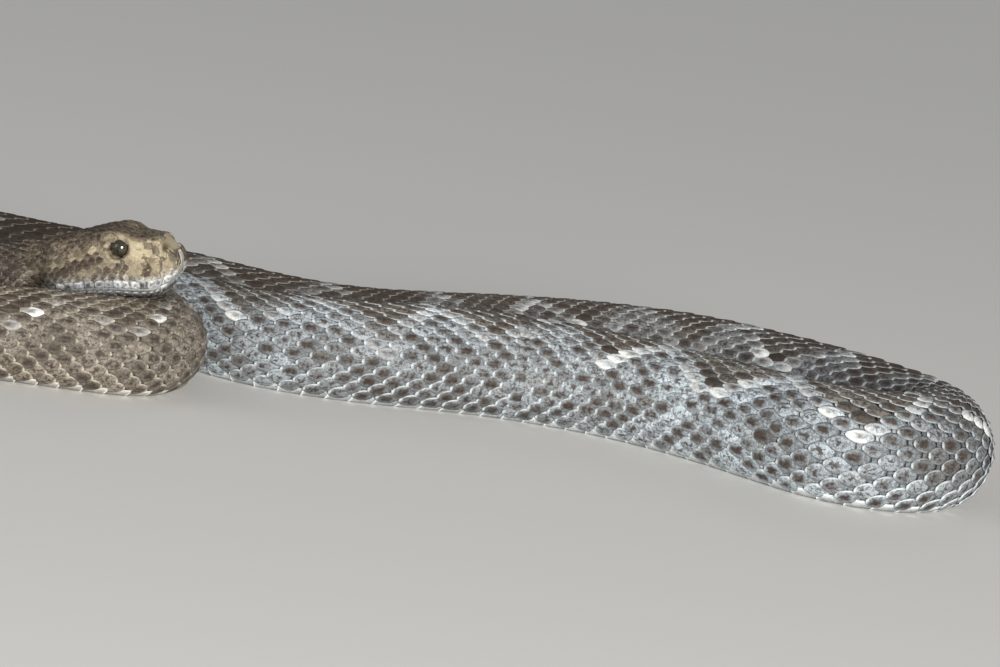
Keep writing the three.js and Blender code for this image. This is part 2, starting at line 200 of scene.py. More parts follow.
def body_point(distance, around, height):
    """A point over the body's skin: distance from the head, around from -1 to 1 (0 on the spine)."""
    angle = around * math.pi
    radius = girth(distance)
    reach = radius - COAT + height
    lowest = -BELLY_DROP * radius + BELLY_CLEAR - np.minimum(height, BELLY_CLEAR - FLOOR_CLEAR)
    across = (reach * np.sin(angle))[..., None]
    rise = np.maximum(reach * np.cos(angle), lowest)[..., None]
    point = along_body(axis_line, distance) + along_body(side_line, distance) * across
    point = point + along_body(up_line, distance) * rise
    point[..., 2] = np.maximum(point[..., 2], FLOOR_CLEAR)
    return point


# The head's form. Wide at the jaws, flat on the crown, with a blunt snout, sunk pits and a hard
# brow edge over each eye. Stations in millimetres from the neck for a head 47 long.
HEAD_LENGTH = 47.2
HEAD_BACK = Vector((-81.7, -40, 26.5))
HEAD_TURN, HEAD_LIFT, HEAD_ROLL = (math.radians(a) for a in (-14, 14.6, 4))
STATION_LENGTH = 47
HEAD_FORM = {
    "crown": [(0, 7.4), (6, 8.4), (12, 9.4), (20, 11), (25.5, 12), (28.5, 12.1), (31, 11.5), (34, 10.3),
              (38, 9.5), (41, 9.2), (43.5, 8.8), (45.7, 7.6), (47, 5.3)],
    "crown_half": [(0, 5), (6, 6.8), (12, 8.6), (20, 9.3), (28, 9.3), (34, 8.7), (40, 7.5), (44, 6.4),
                   (46, 5), (47, 3.4)],
    "cheek_half": [(0, 8.8), (6, 11.6), (12, 15.4), (17, 16.7), (22, 15.6), (28, 13), (34, 11.2),
                   (40, 9.6), (44, 8.2), (46, 6.4), (47, 4.4)],
    "cheek": [(0, 0), (12, -0.5), (24, -0.6), (34, 0.5), (47, 1.5)],
    "lip_half": [(0, 8.2), (6, 10.6), (12, 14), (17, 15.2), (22, 14.2), (28, 12.1), (34, 10.7),
                 (40, 9.3), (44, 7.9), (46, 6), (47, 4)],
    "lip": [(0, -3.4), (12, -4), (20, -3.6), (28, -4), (36, -5), (41, -5.1), (44, -4.5), (47, -3.4)],
    "jaw_half": [(0, 6.2), (6, 7.4), (12, 8.3), (20, 8.1), (28, 7), (34, 6.2), (40, 5.2), (44, 4.2),
                 (46, 3), (47, 2.2)],
    "jaw": [(0, -7), (6, -7.5), (12, -7.9), (20, -8), (28, -7.8), (34, -7.9), (40, -7.8), (44, -7.4),
            (46, -6.9), (47, -6.3)],
}
SNOUT_FROM, SNOUT_TIP_HEIGHT, SNOUT_HALF_HEIGHT = 36, 2, 7
SNOUT_ROUND, SNOUT_EASE = 4.6, 0.35
EYE_X, EYE_Y, EYE_Z, EYE_RADIUS = 31.2, 7.9, 7.2, 2.8
NOSTRIL = (44.4, 6.5)
PIT = (39.2, 1.6)
HEAD_SCALE = HEAD_LENGTH / STATION_LENGTH
POINTS_PER_SPAN = 14
head_place = (Matrix.Translation(HEAD_BACK) @ Matrix.Rotation(HEAD_TURN, 4, "Z")
              @ Matrix.Rotation(-HEAD_LIFT, 4, "Y") @ Matrix.Rotation(HEAD_ROLL, 4, "X")
              @ Matrix.Diagonal((HEAD_SCALE,) * 3 + (1,)))
HEAD_TURNED = np.array(head_place)[:3, :3]
HEAD_AT = np.array(head_place)[:3, 3]


def from_head(points):
    return points @ HEAD_TURNED.T + HEAD_AT


def to_head(points):
    return (points - HEAD_AT) @ np.linalg.inv(HEAD_TURNED).T


def head_size(name, x):
    """One of the head's sizes at a station, such as the height of its lip line."""
    return smooth_table(HEAD_FORM[name], x)


def snout_set_back(x, z):
    """How far the profile of the snout draws back above and below its tip."""
    share = np.clip((x - SNOUT_FROM) / (STATION_LENGTH - SNOUT_FROM), 0, 1)
    away = ((z - SNOUT_TIP_HEIGHT) / SNOUT_HALF_HEIGHT) ** 2
    return SNOUT_ROUND * share**2 * away / (1 + SNOUT_EASE * away)


def between_knots(t, t_from, t_to, first, second):
    return ((t_to - t) * first + (t - t_from) * second) / (t_to - t_from)


def half_section(x, count):
    """Half outline of the head at a station, from the crown down to the throat, as (y, z) rows."""
    s = {name: float(smooth_table(table, x)) for name, table in HEAD_FORM.items()}
    rows = np.array([
        (0, s["crown"]), (s["crown_half"] * 0.62, s["crown"] - 0.1), (s["crown_half"], s["crown"] - 1.1),
        (s["crown_half"] + (s["cheek_half"] - s["crown_half"]) * 0.34, s["crown"] * 0.58 + s["cheek"] * 0.42),
        (s["cheek_half"], s["cheek"]), (s["lip_half"], s["lip"]),
        (s["jaw_half"] + (s["lip_half"] - s["jaw_half"]) * 0.45, s["lip"] * 0.3 + s["jaw"] * 0.7),
        (s["jaw_half"] * 0.6, s["jaw"]), (0, s["jaw"])])
    mirrored = np.vstack([rows[1] * (-1, 1), rows, rows[-2] * (-1, 1)])
    knots = np.concatenate([[0], np.cumsum(np.sqrt(np.linalg.norm(np.diff(mirrored, axis=0), axis=1)))])
    line = []
    for i in range(1, len(mirrored) - 2):
        t0, t1, t2, t3 = knots[i - 1:i + 3]
        t = np.linspace(t1, t2, POINTS_PER_SPAN, endpoint=False)[:, None]
        a, b, c, d = mirrored[i - 1:i + 3]
        ab = between_knots(t, t0, t1, a, b)
        bc = between_knots(t, t1, t2, b, c)
        cd = between_knots(t, t2, t3, c, d)
        abc = between_knots(t, t0, t2, ab, bc)
        bcd = between_knots(t, t1, t3, bc, cd)
        line.append(between_knots(t, t1, t2, abc, bcd))
    line = np.vstack(line + [rows[-1:]])
    run = np.concatenate([[0], np.cumsum(np.linalg.norm(np.diff(line, axis=0), axis=1))])
    even = np.linspace(0, run[-1], count)
    return np.column_stack([np.interp(even, run, line[:, k]) for k in range(2)]), run[-1]


HALF_COLUMNS = 97
AROUND = np.linspace(-1, 1, 2 * HALF_COLUMNS - 1)
STEP_X = 0.47
CAP_ROWS = 10
CAP_REACH = 6.0
CAP_FORWARD = 0.2
CAP_SMALLEST = 0.02
NECK_LIKE_REACH, NECK_LIKE_POWER = 9.5, 1.3
xs = np.arange(0, STATION_LENGTH + 0.01, STEP_X)
neck_ring = to_head(body_point(np.zeros_like(AROUND), AROUND, np.zeros_like(AROUND)))
head_rows, head_x, head_half = [], [], []
for x in xs:
    half, run = half_section(x, HALF_COLUMNS)
    left = np.column_stack([np.full(HALF_COLUMNS, x), half])
    ring = np.vstack([(left * (1, -1, 1))[::-1], left[1:]])
    unset = ring.copy()
    ring[:, 0] -= snout_set_back(x, ring[:, 2])
    like_neck = np.clip(1 - x / NECK_LIKE_REACH, 0, 1) ** NECK_LIKE_POWER
    target = neck_ring.copy()
    target[:, 0] = neck_ring[:, 0] * (1 - min(1, x / NECK_LIKE_REACH)) + x
    head_rows.append(ring * (1 - like_neck) + target * like_neck)
    head_x.append(-x * HEAD_SCALE)
    head_half.append(run * HEAD_SCALE)
for i in range(1, CAP_ROWS + 1):
    t = i / CAP_ROWS
    shrink = math.cos(t * math.pi / 2) * (1 - CAP_SMALLEST) + CAP_SMALLEST
    moved = (CAP_FORWARD * math.sin(t * math.pi / 2), 0, SNOUT_TIP_HEIGHT * (1 - shrink))
    ring = unset * (1, shrink, shrink) + moved
    ring[:, 0] -= snout_set_back(STATION_LENGTH, ring[:, 2])
    head_rows.append(ring)
    head_x.append(-STATION_LENGTH * HEAD_SCALE - t * CAP_REACH)
    head_half.append(head_half[len(xs) - 1] * shrink)
head_grid = np.array(head_rows)
head_x = np.array(head_x)
head_half = np.array(head_half)


def grid_normals(grid):
    """Outward normals of a grid whose rows run to the snout and whose columns run round to the left."""
    down_rows = np.gradient(grid, axis=0)
    closed = np.concatenate([grid[:, -2:-1], grid, grid[:, 1:2]], axis=1)
    round_columns = (closed[:, 2:] - closed[:, :-2]) / 2
    return unit(np.cross(down_rows, round_columns))


def dent(along, up, half_long, half_tall):
    """A soft hollow's depth beside its middle, as a share of the depth there."""
    return np.exp(-(along / half_long) ** 2 - (up / half_tall) ** 2)


SOCKET_DEPTH, SOCKET_RADIUS, SOCKET_WALL, SOCKET_CURVE = 2.6, 3.5, 1.2, 1.2
PIT_DEPTH, NOSTRIL_DEPTH = 1.5, 1.4
MOUTH_DEPTH, MOUTH_HALF, MOUTH_CORNER = 0.55, 0.32, 9
BROW_RISE, BROW_BACK, BROW_HEIGHT = 0.55, 0.8, 10.7


def pressed(grid):
    """Presses eye sockets, heat pits, nostrils and the mouth's line into the head, and lifts the brows."""
    normals = grid_normals(grid)
    x, y, z = grid[..., 0], grid[..., 1], grid[..., 2]
    depth = np.zeros_like(x)
    flank = np.abs(y) > 4.5
    eye = np.hypot(x - EYE_X, z - EYE_Z)
    depth += SOCKET_DEPTH * np.clip((SOCKET_RADIUS - eye) / SOCKET_WALL, 0, 1) ** SOCKET_CURVE * flank
    depth += PIT_DEPTH * dent(x - PIT[0], z - PIT[1], 1.15, 1.0) * flank
    depth += NOSTRIL_DEPTH * dent(x - NOSTRIL[0], z - NOSTRIL[1], 0.75, 1.1) * (np.abs(y) > 3)
    depth += MOUTH_DEPTH * np.exp(-((z - head_size("lip", x)) / MOUTH_HALF) ** 2) * (x > MOUTH_CORNER)
    brow = dent(x - EYE_X + BROW_BACK, z - BROW_HEIGHT, 4.4, 0.8) * flank
    return grid - normals * (depth - BROW_RISE * brow)[..., None]


head_grid = pressed(head_grid)
head_world = from_head(head_grid)
head_normals = grid_normals(head_world)


def grid_read(grid, row, column):
    r, c = np.clip(row, 0, grid.shape[0] - 1.001), np.mod(column, grid.shape[1] - 1)
    i, j = r.astype(int), c.astype(int)
    u, v = (r - i)[..., None], (c - j)[..., None]
    return ((1 - u) * (1 - v) * grid[i, j] + (1 - u) * v * grid[i, j + 1]
            + u * (1 - v) * grid[i + 1, j] + u * v * grid[i + 1, j + 1])


def skin_point(distance, around, height):
    """The whole animal's surface: below zero the distance runs forward over the head to the snout."""
    distance, around, height = np.broadcast_arrays(distance, around, height)
    around = np.mod(around + 1, 2) - 1
    on_body = body_point(np.maximum(distance, 0), around, height)
    row = np.interp(-distance, -head_x, np.arange(len(head_x)))
    column = (around + 1) / 2 * (head_grid.shape[1] - 1)
    on_head = grid_read(head_world, row, column) + grid_read(head_normals, row, column) * height[..., None]
    return np.where((distance >= 0)[..., None], on_body, on_head)


def half_round(distance):
    """Millimetres from the spine round to the middle of the belly."""
    on_head = np.interp(-np.asarray(distance), -head_x, head_half)
    return np.where(np.asarray(distance) >= 0, girth(np.maximum(distance, 0)) * math.pi, on_head)


# Markings. A row of brown diamonds runs down the back, each with a dark lower edge and then a border
# of white scales; the flanks carry smaller spots; the tail is ringed black and white; a dark band
# with pale borders runs from the eye to the jaw's corner. Each place gives brown, dark and pale.
# The dark also carries painted shade on the neck, the back section, the right bend and the hind body,
# and on the head painted shade under the brow, below the lips, at the mouth's corner and in the nostrils.
DIAMOND_START, DIAMOND_END = 14.0, 0.915
DIAMOND_COUNT = [(0, -0.4), (14, 0.05), (194, 5.5), (227, 6.5), (847, 23.5), (889, 24.5), (932, 25.5),
                 (1191, 32.5)]
DIAMOND_REACH, DIAMOND_VARIES = 57, 5
SPOT_ANGLE, SMALL_SPOT_ANGLE = 88, 116
BELLY_FROM, BELLY_TO = 138, 146
VENT = 0.925
RINGS = 5.5
# Painted shade: how dark the ground is painted, by distance from the head, on the back and on the flanks.
PAINTED_SHADE_BACK = [(0, 0.95), (60, 0.7), (100, 0.15), (420, 0.2), (470, 0.95), (560, 0.9), (650, 0.74),
              (720, 0.66), (800, 0.9), (835, 0.6), (880, 0.1), (1050, 0.06), (1100, 0.35),
              (1170, 0.35), (1200, 0)]
PAINTED_SHADE_FLANK = [(0, 0.3), (60, 0.2), (110, 0), (780, 0), (810, 0.3), (840, 0), (900, 0), (935, 0.42),
               (1170, 0.42), (1200, 0)]


def soft(edge_from, edge_to, value):
    t = np.clip((value - edge_from) / (edge_to - edge_from), 0, 1)
    return t * t * (3 - 2 * t)


def band(value, middle, width):
    return np.exp(-((value - middle) / width) ** 2)


def along_table(table, distance):
    return np.interp(distance, *np.array(table, float).T)


def painted_shade(distance, angle):
    """How far painted shade darkens the ground colour, along the back and on the flanks."""
    on_back, on_flank = along_table(PAINTED_SHADE_BACK, distance), along_table(PAINTED_SHADE_FLANK, distance)
    return np.maximum(on_back * (1 - soft(95, 125, angle)), on_flank)


def body_marks(distance, around):
    angle = np.abs(around) * 180
    place = along_table(DIAMOND_COUNT, distance)
    number = np.floor(place)
    across = DIAMOND_REACH + DIAMOND_VARIES * np.sin(number * 1.7)
    off = np.abs(place - number - 0.5) * 2
    d = np.sqrt((angle / across) ** 2 + 0.02) + off * 0.97
    inside = (distance > DIAMOND_START * 0.4) & (distance < DIAMOND_END * LENGTH + 4)
    low = soft(0.4, 0.8, angle / across)
    brown = (1 - soft(0.84, 1.02, d)) * inside
    dark = band(d, 0.84, 0.12) * (0.35 + 0.65 * low) * inside
    pale = band(d, 1.13, 0.1) * (0.4 + 0.6 * low) * inside
    between = np.abs(np.mod(place + 0.02 * np.sin(number), 1)) * 2 - 1
    spot = dent(angle - SPOT_ANGLE, np.abs(between) - 1, 9, 0.26) * inside
    small = dent(angle - SMALL_SPOT_ANGLE, between, 8, 0.24) * inside
    brown = np.maximum(brown, 0.6 * (spot + small))
    dark = np.maximum(dark, 0.55 * spot + 0.35 * small)
    tail = distance > VENT * LENGTH + 2
    turn_count = (distance - VENT * LENGTH) / ((1 - VENT) * LENGTH) * RINGS
    black = soft(0.42, 0.5, np.abs(np.mod(turn_count, 1) * 2 - 1))
    brown = np.where(tail, 0, brown)
    dark = np.where(tail, black * 1.5, dark)
    pale = np.where(tail, (1 - black) * 0.9, pale)
    faded = 1 - 0.4 * band(distance, 240, 45)
    brown, dark = brown * faded, dark * faded
    # Painted shade darkens the ground, less on the pale marks.
    dark = np.maximum(dark, painted_shade(distance, angle) * (1 - 0.8 * pale))
    belly = soft(BELLY_FROM, BELLY_TO, angle)
    pale = np.maximum(pale, 0.4 * belly * ~tail)
    brown = brown * (1 - belly)
    dark = np.where(tail, dark, dark * (1 - belly))
    return np.stack([brown, dark, pale], axis=-1)


def head_marks(places):
    """Marks for places given in head coordinates."""
    x, y, z = places[..., 0], np.abs(places[..., 1]), places[..., 2]
    lip = head_size("lip", x)
    crown_top = head_size("crown", x)
    edge = np.clip(crown_top - 0.9 + 0.6 * soft(36, 39, x), 7.4, 10.4) - 0.7 * (1 - soft(22, 28, x))
    crown = soft(edge - 0.5, edge + 0.4, z) * soft(3, 12, x)
    side = soft(33.5, 35, x) * (1 - soft(46.8, 47.3, x)) * soft(lip + 3.6, lip + 5.0, z) * (1 - crown)
    blotches = 0.5 + 0.5 * np.sin(x * 0.62 + 2) * np.cos(y * 0.55 + 0.4)
    brown = 0.4 + 0.25 * crown
    dark = crown * 0.2 * blotches
    fall = EYE_Z - 1.6 - (EYE_X - 3 - x) * 0.34
    behind = soft(EYE_X - 0.5, EYE_X - 3, x) * (1 - crown)
    stripe = band(z, fall, 1.9) * behind
    edges = (band(z, fall + 3.1, 0.7) + band(z, fall - 3.0, 0.8)) * behind
    front = soft(33.9, 34.8, x) * (1 - soft(40.0, 41.0, x)) * soft(2.9, 3.9, z) * (1 - crown)
    upper_lip = soft(lip + 4.6, lip + 3.2, z) * soft(28, 32, x)
    rear_lip = soft(lip + 5.0, lip + 2.0, z) * (1 - soft(26, 31, x)) * soft(8, 12, x)
    nasal = soft(41.2, 42.4, x) * (1 - soft(46.0, 46.4, x)) * soft(2.0, 3.2, z) * (1 - crown)
    # Painted shade: the scales below the lip line are painted dark, without brown or pale.
    below = (1 - soft(lip - 0.5, lip + 0.1, z)) * soft(7, 10, x)
    brow_line = band(z, edge - 0.1, 0.5) * soft(26.5, 28, x) * (1 - soft(36, 38, x)) * (y > 4)
    # Painted shadow under the brow's edge, above the eye.
    shadow_under_brow = band(z, edge - 1.1, 0.45) * soft(27, 28.5, x) * (1 - soft(34.5, 36, x)) * (y > 4)
    ring = band(np.hypot(x - EYE_X, z - EYE_Z), 3.5, 0.5) * (y > 5) * (1 - shadow_under_brow)
    uneven = np.mod(x * 0.42 + 0.2 * np.sin(x * 1.3), 1)
    spots = band(uneven, 0.5, 0.19) * band(z, lip + 1.9 + 0.9 * np.sin(x * 2.1), 1.1) * upper_lip
    streak = band(x - 0.2 * (1 - z), 39.4, 1.0) * band(z, 0.4, 2.6)
    tip = soft(46.1, 46.5, x) * (1 - soft(47.2, 47.5, x)) * soft(0.2, 1.4, z) * (1 - soft(5.4, 6.6, z))
    # Painted shade in the nostril's hollow.
    slit = band(np.hypot(x - NOSTRIL[0] + 0.7, (z - NOSTRIL[1] + 0.2) * 0.62), 0, 1.15)
    slit = slit * soft(2.2, 2.8, y) * (1 - soft(5.4, 6.4, y))
    # Painted shade along the mouth's line at its corner.
    corner = band(x, 12.5, 3.2) * band(z, lip + 0.6, 1.2)
    pale = np.maximum.reduce([0.6 * edges, 0.86 * front, 0.72 * upper_lip, 0.2 * rear_lip, 0.85 * nasal,
                              0.42 * side, 0.75 * brow_line, 0.7 * ring]) * (1 - below)
    dark = np.maximum.reduce([dark * (1 - brow_line), 0.6 * shadow_under_brow, 0.6 * stripe, 0.95 * spots,
                              0.85 * streak, 0.65 * tip, 0.85 * corner, 0.62 * below, 0.9 * slit])
    keep = 1 - np.maximum.reduce([front, nasal, upper_lip * (1 - spots) * (1 - below)])
    kept_dark = np.maximum.reduce([keep, spots, slit, below])
    kept_pale = 1 - 0.9 * np.maximum.reduce([streak, spots, slit, tip])
    return np.stack([brown * keep, dark * kept_dark, pale * kept_pale], axis=-1)


def looks(distance, around, places):
    """How bright the free rims are, pale edges with a painted highlight; how much painted cool tint the
    ground takes; and how creamy its pale marks are.
    """
    angle = np.abs(around) * 180
    share = distance / LENGTH
    at = to_head(places)
    on_body = soft(-7, 3, distance)
    lip = head_size("lip", at[..., 0])
    # The lower cheek and lips, which take a painted bluish shade.
    shaded_low_cheek = soft(lip + 4.5, lip + 2.0, at[..., 2]) * soft(8, 12, at[..., 0])
    # Rims: pale scale edges with a painted highlight, brighter on the flanks and the hind body, dimmed under
    # painted shade.
    rim = (0.55 + 0.25 * soft(60, 110, angle) + 0.2 * soft(0.3, 0.6, share)) * on_body
    rim = rim * (1 - 0.6 * painted_shade(distance, angle))
    rim += (0.2 + 0.45 * soft(24, 34, at[..., 0]) * (1 - soft(9, 10, at[..., 2]))) * (1 - on_body)
    # Painted cool tint: cool sky light over the hind body, and bluish painted shade on the lower cheek and
    # lips.
    cool = (0.1 + 0.9 * soft(0.3, 0.62, share)) * on_body + 0.85 * shaded_low_cheek * (1 - on_body)
    cream = (1 - shaded_low_cheek) * (1 - on_body)
    return np.stack([rim, cool, cream], axis=-1)


def all_marks(distance, around, places):
    on_head = head_marks(to_head(places))
    on_body = body_marks(distance, around)
    share = soft(-7, 3, distance)[..., None]
    return on_head * (1 - share) + on_body * share


# Finish of skin and scales. One group mixes the marks into colour and gives the mottling and the
# fine grain, so that skin, scales and plates carry the same markings. It also paints a cool tint of
# sky light over the hind body and of bluish shade on the low cheek, and a highlight on the rims.
def socket(group, name, kind, value=None, way="INPUT"):
    made = group.interface.new_socket(name=name, in_out=way, socket_type=kind)
    if value is not None:
        made.default_value = value


def node(tree, kind, **sets):
    made = tree.nodes.new(kind)
    for name, value in sets.items():
        setattr(made, name, value)
    return made


def feed(tree, value, target):
    """Sets a socket to a number or a colour, or links it to an output."""
    if isinstance(value, (int, float, tuple)):
        target.default_value = value
    else:
        tree.links.new(value, target)


def calc(tree, operation, *values):
    made = node(tree, "ShaderNodeMath", operation=operation)
    for value, target in zip(values, made.inputs):
        feed(tree, value, target)
    return made.outputs[0]


def blend(tree, share, first, second, mode="MIX"):
    made = node(tree, "ShaderNodeMix", data_type="RGBA", blend_type=mode)
    for key, kind, value in (("Factor", "VALUE", share), ("A", "RGBA", first), ("B", "RGBA", second)):
        feed(tree, value, [s for s in made.inputs if s.name == key and s.type == kind][0])
    return [s for s in made.outputs if s.type == "RGBA"][0]


def spread(tree, value, low, high, to_low=0.0, to_high=1.0):
    made = node(tree, "ShaderNodeMapRange", interpolation_type="SMOOTHSTEP")
    tree.links.new(value, made.inputs["Value"])
    for name, number in (("From Min", low), ("From Max", high), ("To Min", to_low), ("To Max", to_high)):
        made.inputs[name].default_value = number
    return made.outputs[0]


def noise(tree, where, scale, detail, rough):
    made = node(tree, "ShaderNodeTexNoise")
    for name, value in (("Scale", scale), ("Detail", detail), ("Roughness", rough), ("Vector", where)):
        feed(tree, value, made.inputs[name])
    return made.outputs["Fac"]


def bumped(tree, height, strength, depth, shader):
    bump = node(tree, "ShaderNodeBump")
    bump.inputs["Strength"].default_value = strength
    bump.inputs["Distance"].default_value = depth
    tree.links.new(height, bump.inputs["Height"])
    tree.links.new(bump.outputs[0], shader.inputs["Normal"])


hide = bpy.data.node_groups.new("snake hide", "ShaderNodeTree")
for name, value in (("Brown", 0.0), ("Dark", 0.0), ("Pale", 0.0), ("Chance", 0.5), ("Rim And Highlight", 0.0),
                    ("Heart", 0.0), ("Outer", 0.6), ("Painted Cool Tint", 0.0), ("Cream", 0.0), ("Shade", 1.0)):
    socket(hide, name, "NodeSocketFloat", value)
socket(hide, "Where", "NodeSocketVector")
socket(hide, "Color", "NodeSocketColor", way="OUTPUT")
socket(hide, "Roughness", "NodeSocketFloat", way="OUTPUT")
socket(hide, "Grain", "NodeSocketFloat", way="OUTPUT")
entry = node(hide, "NodeGroupInput")
leave = node(hide, "NodeGroupOutput")
get = entry.outputs


def grey(level):
    return (level, level, level, 1)


def product(*factors):
    result = factors[0]
    for factor in factors[1:]:
        result = calc(hide, "MULTIPLY", result, factor)
    return result


fine = noise(hide, get["Where"], 1500, 4, 0.65)
fleck = noise(hide, get["Where"], 820, 3, 0.62)
dots = noise(hide, get["Where"], 1750, 2, 0.5)
middle = noise(hide, get["Where"], 330, 4, 0.6)
broad = noise(hide, get["Where"], 34, 3, 0.5)
broad = spread(hide, broad, 0.36, 0.64)
warm = blend(hide, broad, (0.265, 0.218, 0.16, 1), (0.21, 0.17, 0.122, 1))
# Painted cool tint: the ground as it looks under cool sky light or in bluish shade.
painted_cool_ground = blend(hide, broad, (0.55, 0.62, 0.67, 1), (0.42, 0.46, 0.485, 1))
colour = blend(hide, get["Painted Cool Tint"], warm, painted_cool_ground)
brown_share = spread(hide, middle, 0.35, 0.65)
brown_mix = blend(hide, brown_share, (0.115, 0.088, 0.058, 1), (0.195, 0.156, 0.106, 1))
colour = blend(hide, product(get["Brown"], 0.78), colour, brown_mix)
lightness = blend(hide, get["Chance"], grey(0.7), grey(1.28))
colour = blend(hide, 1.0, colour, lightness, "MULTIPLY")
heart_share = product(get["Heart"], spread(hide, get["Chance"], 0.95, 0.1, 0.12, 0.95))
colour = blend(hide, heart_share, colour, (0.08, 0.064, 0.05, 1))
flecks = product(spread(hide, fleck, 0.49, 0.55),
                 calc(hide, "MULTIPLY_ADD", get["Heart"], 0.4, 0.48))
flecks = calc(hide, "MAXIMUM", flecks, product(spread(hide, dots, 0.56, 0.62), 0.65))
colour = blend(hide, flecks, colour, (0.045, 0.029, 0.023, 1))
keep_rim = calc(hide, "MULTIPLY_ADD", get["Rim And Highlight"], -0.6, 1.0)
dark_share = product(get["Dark"], keep_rim, spread(hide, middle, 0.3, 0.5, 0.7, 0.96))
colour = blend(hide, dark_share, colour, (0.042, 0.03, 0.024, 1))
# The rims' colour, pale edge and painted highlight in one, warm or cool with the painted cool tint.
rim_and_highlight_colour = blend(hide, get["Painted Cool Tint"], (0.56, 0.51, 0.40, 1), (0.74, 0.78, 0.80, 1))
rim_and_highlight_colour = blend(hide, get["Cream"], rim_and_highlight_colour, (0.62, 0.53, 0.35, 1))
rim_and_highlight_share = product(get["Rim And Highlight"], spread(hide, fine, 0.25, 0.5, 0.7, 1.0))
colour = blend(hide, rim_and_highlight_share, colour, rim_and_highlight_colour)
pale_colour = blend(hide, get["Cream"], (0.80, 0.80, 0.78, 1), (0.58, 0.49, 0.325, 1))
outer_share = calc(hide, "MAXIMUM", get["Outer"], product(get["Cream"], 0.85))
paler = calc(hide, "MAXIMUM", spread(hide, get["Chance"], 0.05, 0.5), product(get["Cream"], 0.3))
pale_share = product(get["Pale"], outer_share, paler)
pale_share = product(pale_share, spread(hide, fine, 0.25, 0.48, 0.72, 1.0))
colour = blend(hide, pale_share, colour, pale_colour)
colour = blend(hide, 0.6, colour, blend(hide, fine, grey(0.2), grey(1.75)), "MULTIPLY")
shade = blend(hide, get["Shade"], grey(0.0), grey(1.0))
hide.links.new(blend(hide, 1.0, colour, shade, "MULTIPLY"), leave.inputs["Color"])
hide.links.new(spread(hide, fine, 0.3, 0.7, 0.5, 0.7), leave.inputs["Roughness"])
hide.links.new(fine, leave.inputs["Grain"])


def hide_finish(name, shade, bump_depth, scaled):
    """A finish that reads the marks on the mesh; scaled ones also colour each scale from root to tip, with a
    painted highlight on its edges and free tip.
    """
    finish, tree, shader = new_finish(name)
    group = node(tree, "ShaderNodeGroup", node_tree=hide)
    group.inputs["Shade"].default_value = shade
    parts = {}
    for attribute, targets in (("marks", ("Brown", "Dark", "Pale")), ("looks", ("Rim And Highlight", "Painted Cool Tint", "Cream"))):
        read = node(tree, "ShaderNodeAttribute", attribute_name=attribute)
        split = node(tree, "ShaderNodeSeparateColor")
        tree.links.new(read.outputs["Color"], split.inputs[0])
        for i, target in enumerate(targets):
            parts[target] = split.outputs[i]
            if target != "Rim And Highlight":
                tree.links.new(split.outputs[i], group.inputs[target])
        if attribute == "marks":
            tree.links.new(read.outputs["Alpha"], group.inputs["Chance"])
    place = node(tree, "ShaderNodeTexCoord")
    tree.links.new(place.outputs["Object"], group.inputs["Where"])
    if scaled:
        own = node(tree, "ShaderNodeUVMap", uv_map="ScaleMap")
        split = node(tree, "ShaderNodeSeparateXYZ")
        tree.links.new(own.outputs[0], split.inputs[0])
        along = split.outputs[0]
        across = calc(tree, "ABSOLUTE", calc(tree, "MULTIPLY_ADD", split.outputs[1], 2.0, -1.0))
        # Rim mask: the scale's edges and free tip, where pale edge and painted highlight go.
        edge = calc(tree, "MULTIPLY", spread(tree, across, 0.74, 0.9), spread(tree, along, 0.3, 0.55))
        rim = calc(tree, "MAXIMUM", edge, spread(tree, along, 0.88, 0.95))
        tree.links.new(calc(tree, "MULTIPLY", rim, parts["Rim And Highlight"]), group.inputs["Rim And Highlight"])
        outer = calc(tree, "MULTIPLY", spread(tree, across, 0.1, 0.6), spread(tree, along, 0.15, 0.5))
        outer = calc(tree, "MAXIMUM", outer, spread(tree, along, 0.5, 0.8))
        tree.links.new(calc(tree, "MULTIPLY_ADD", outer, 0.82, 0.18), group.inputs["Outer"])
        middle_way = calc(tree, "ABSOLUTE", calc(tree, "SUBTRACT", along, 0.62))
        heart = calc(tree, "MULTIPLY", spread(tree, across, 0.72, 0.2), spread(tree, middle_way, 0.3, 0.1))
        tree.links.new(heart, group.inputs["Heart"])
    tree.links.new(group.outputs["Color"], shader.inputs["Base Color"])
    tree.links.new(group.outputs["Roughness"], shader.inputs["Roughness"])
    bumped(tree, group.outputs["Grain"], 0.5, bump_depth, shader)
    shader.inputs["Specular IOR Level"].default_value = 0.22
    return finish


skin_finish = hide_finish("skin finish", 0.8, 0.0003, False)
scale_finish = hide_finish("scale finish", 1.0, 0.00012, True)


# The skin. One closed surface from the tip of the tail over the body and the head to the snout,
# fine on the head and plainer under the body's scales, thin as the real hide between its scales.
def joined_mesh(name, points, faces):
    mesh = bpy.data.meshes.new(name)
    mesh.from_pydata([tuple(p) for p in points], [], faces)
    mesh.polygons.foreach_set("use_smooth", [True] * len(mesh.polygons))
    mesh.update()
    return add_object(name, mesh)


def give_marks(mesh, marks, chance, look):
    for name, values, last in (("marks", marks, chance), ("looks", look, np.ones(len(look)))):
        layer = mesh.color_attributes.new(name, "FLOAT_COLOR", "POINT")
        values = np.column_stack([np.clip(values, 0, 1), last]).astype(np.float32)
        layer.data.foreach_set("color", values.ravel())


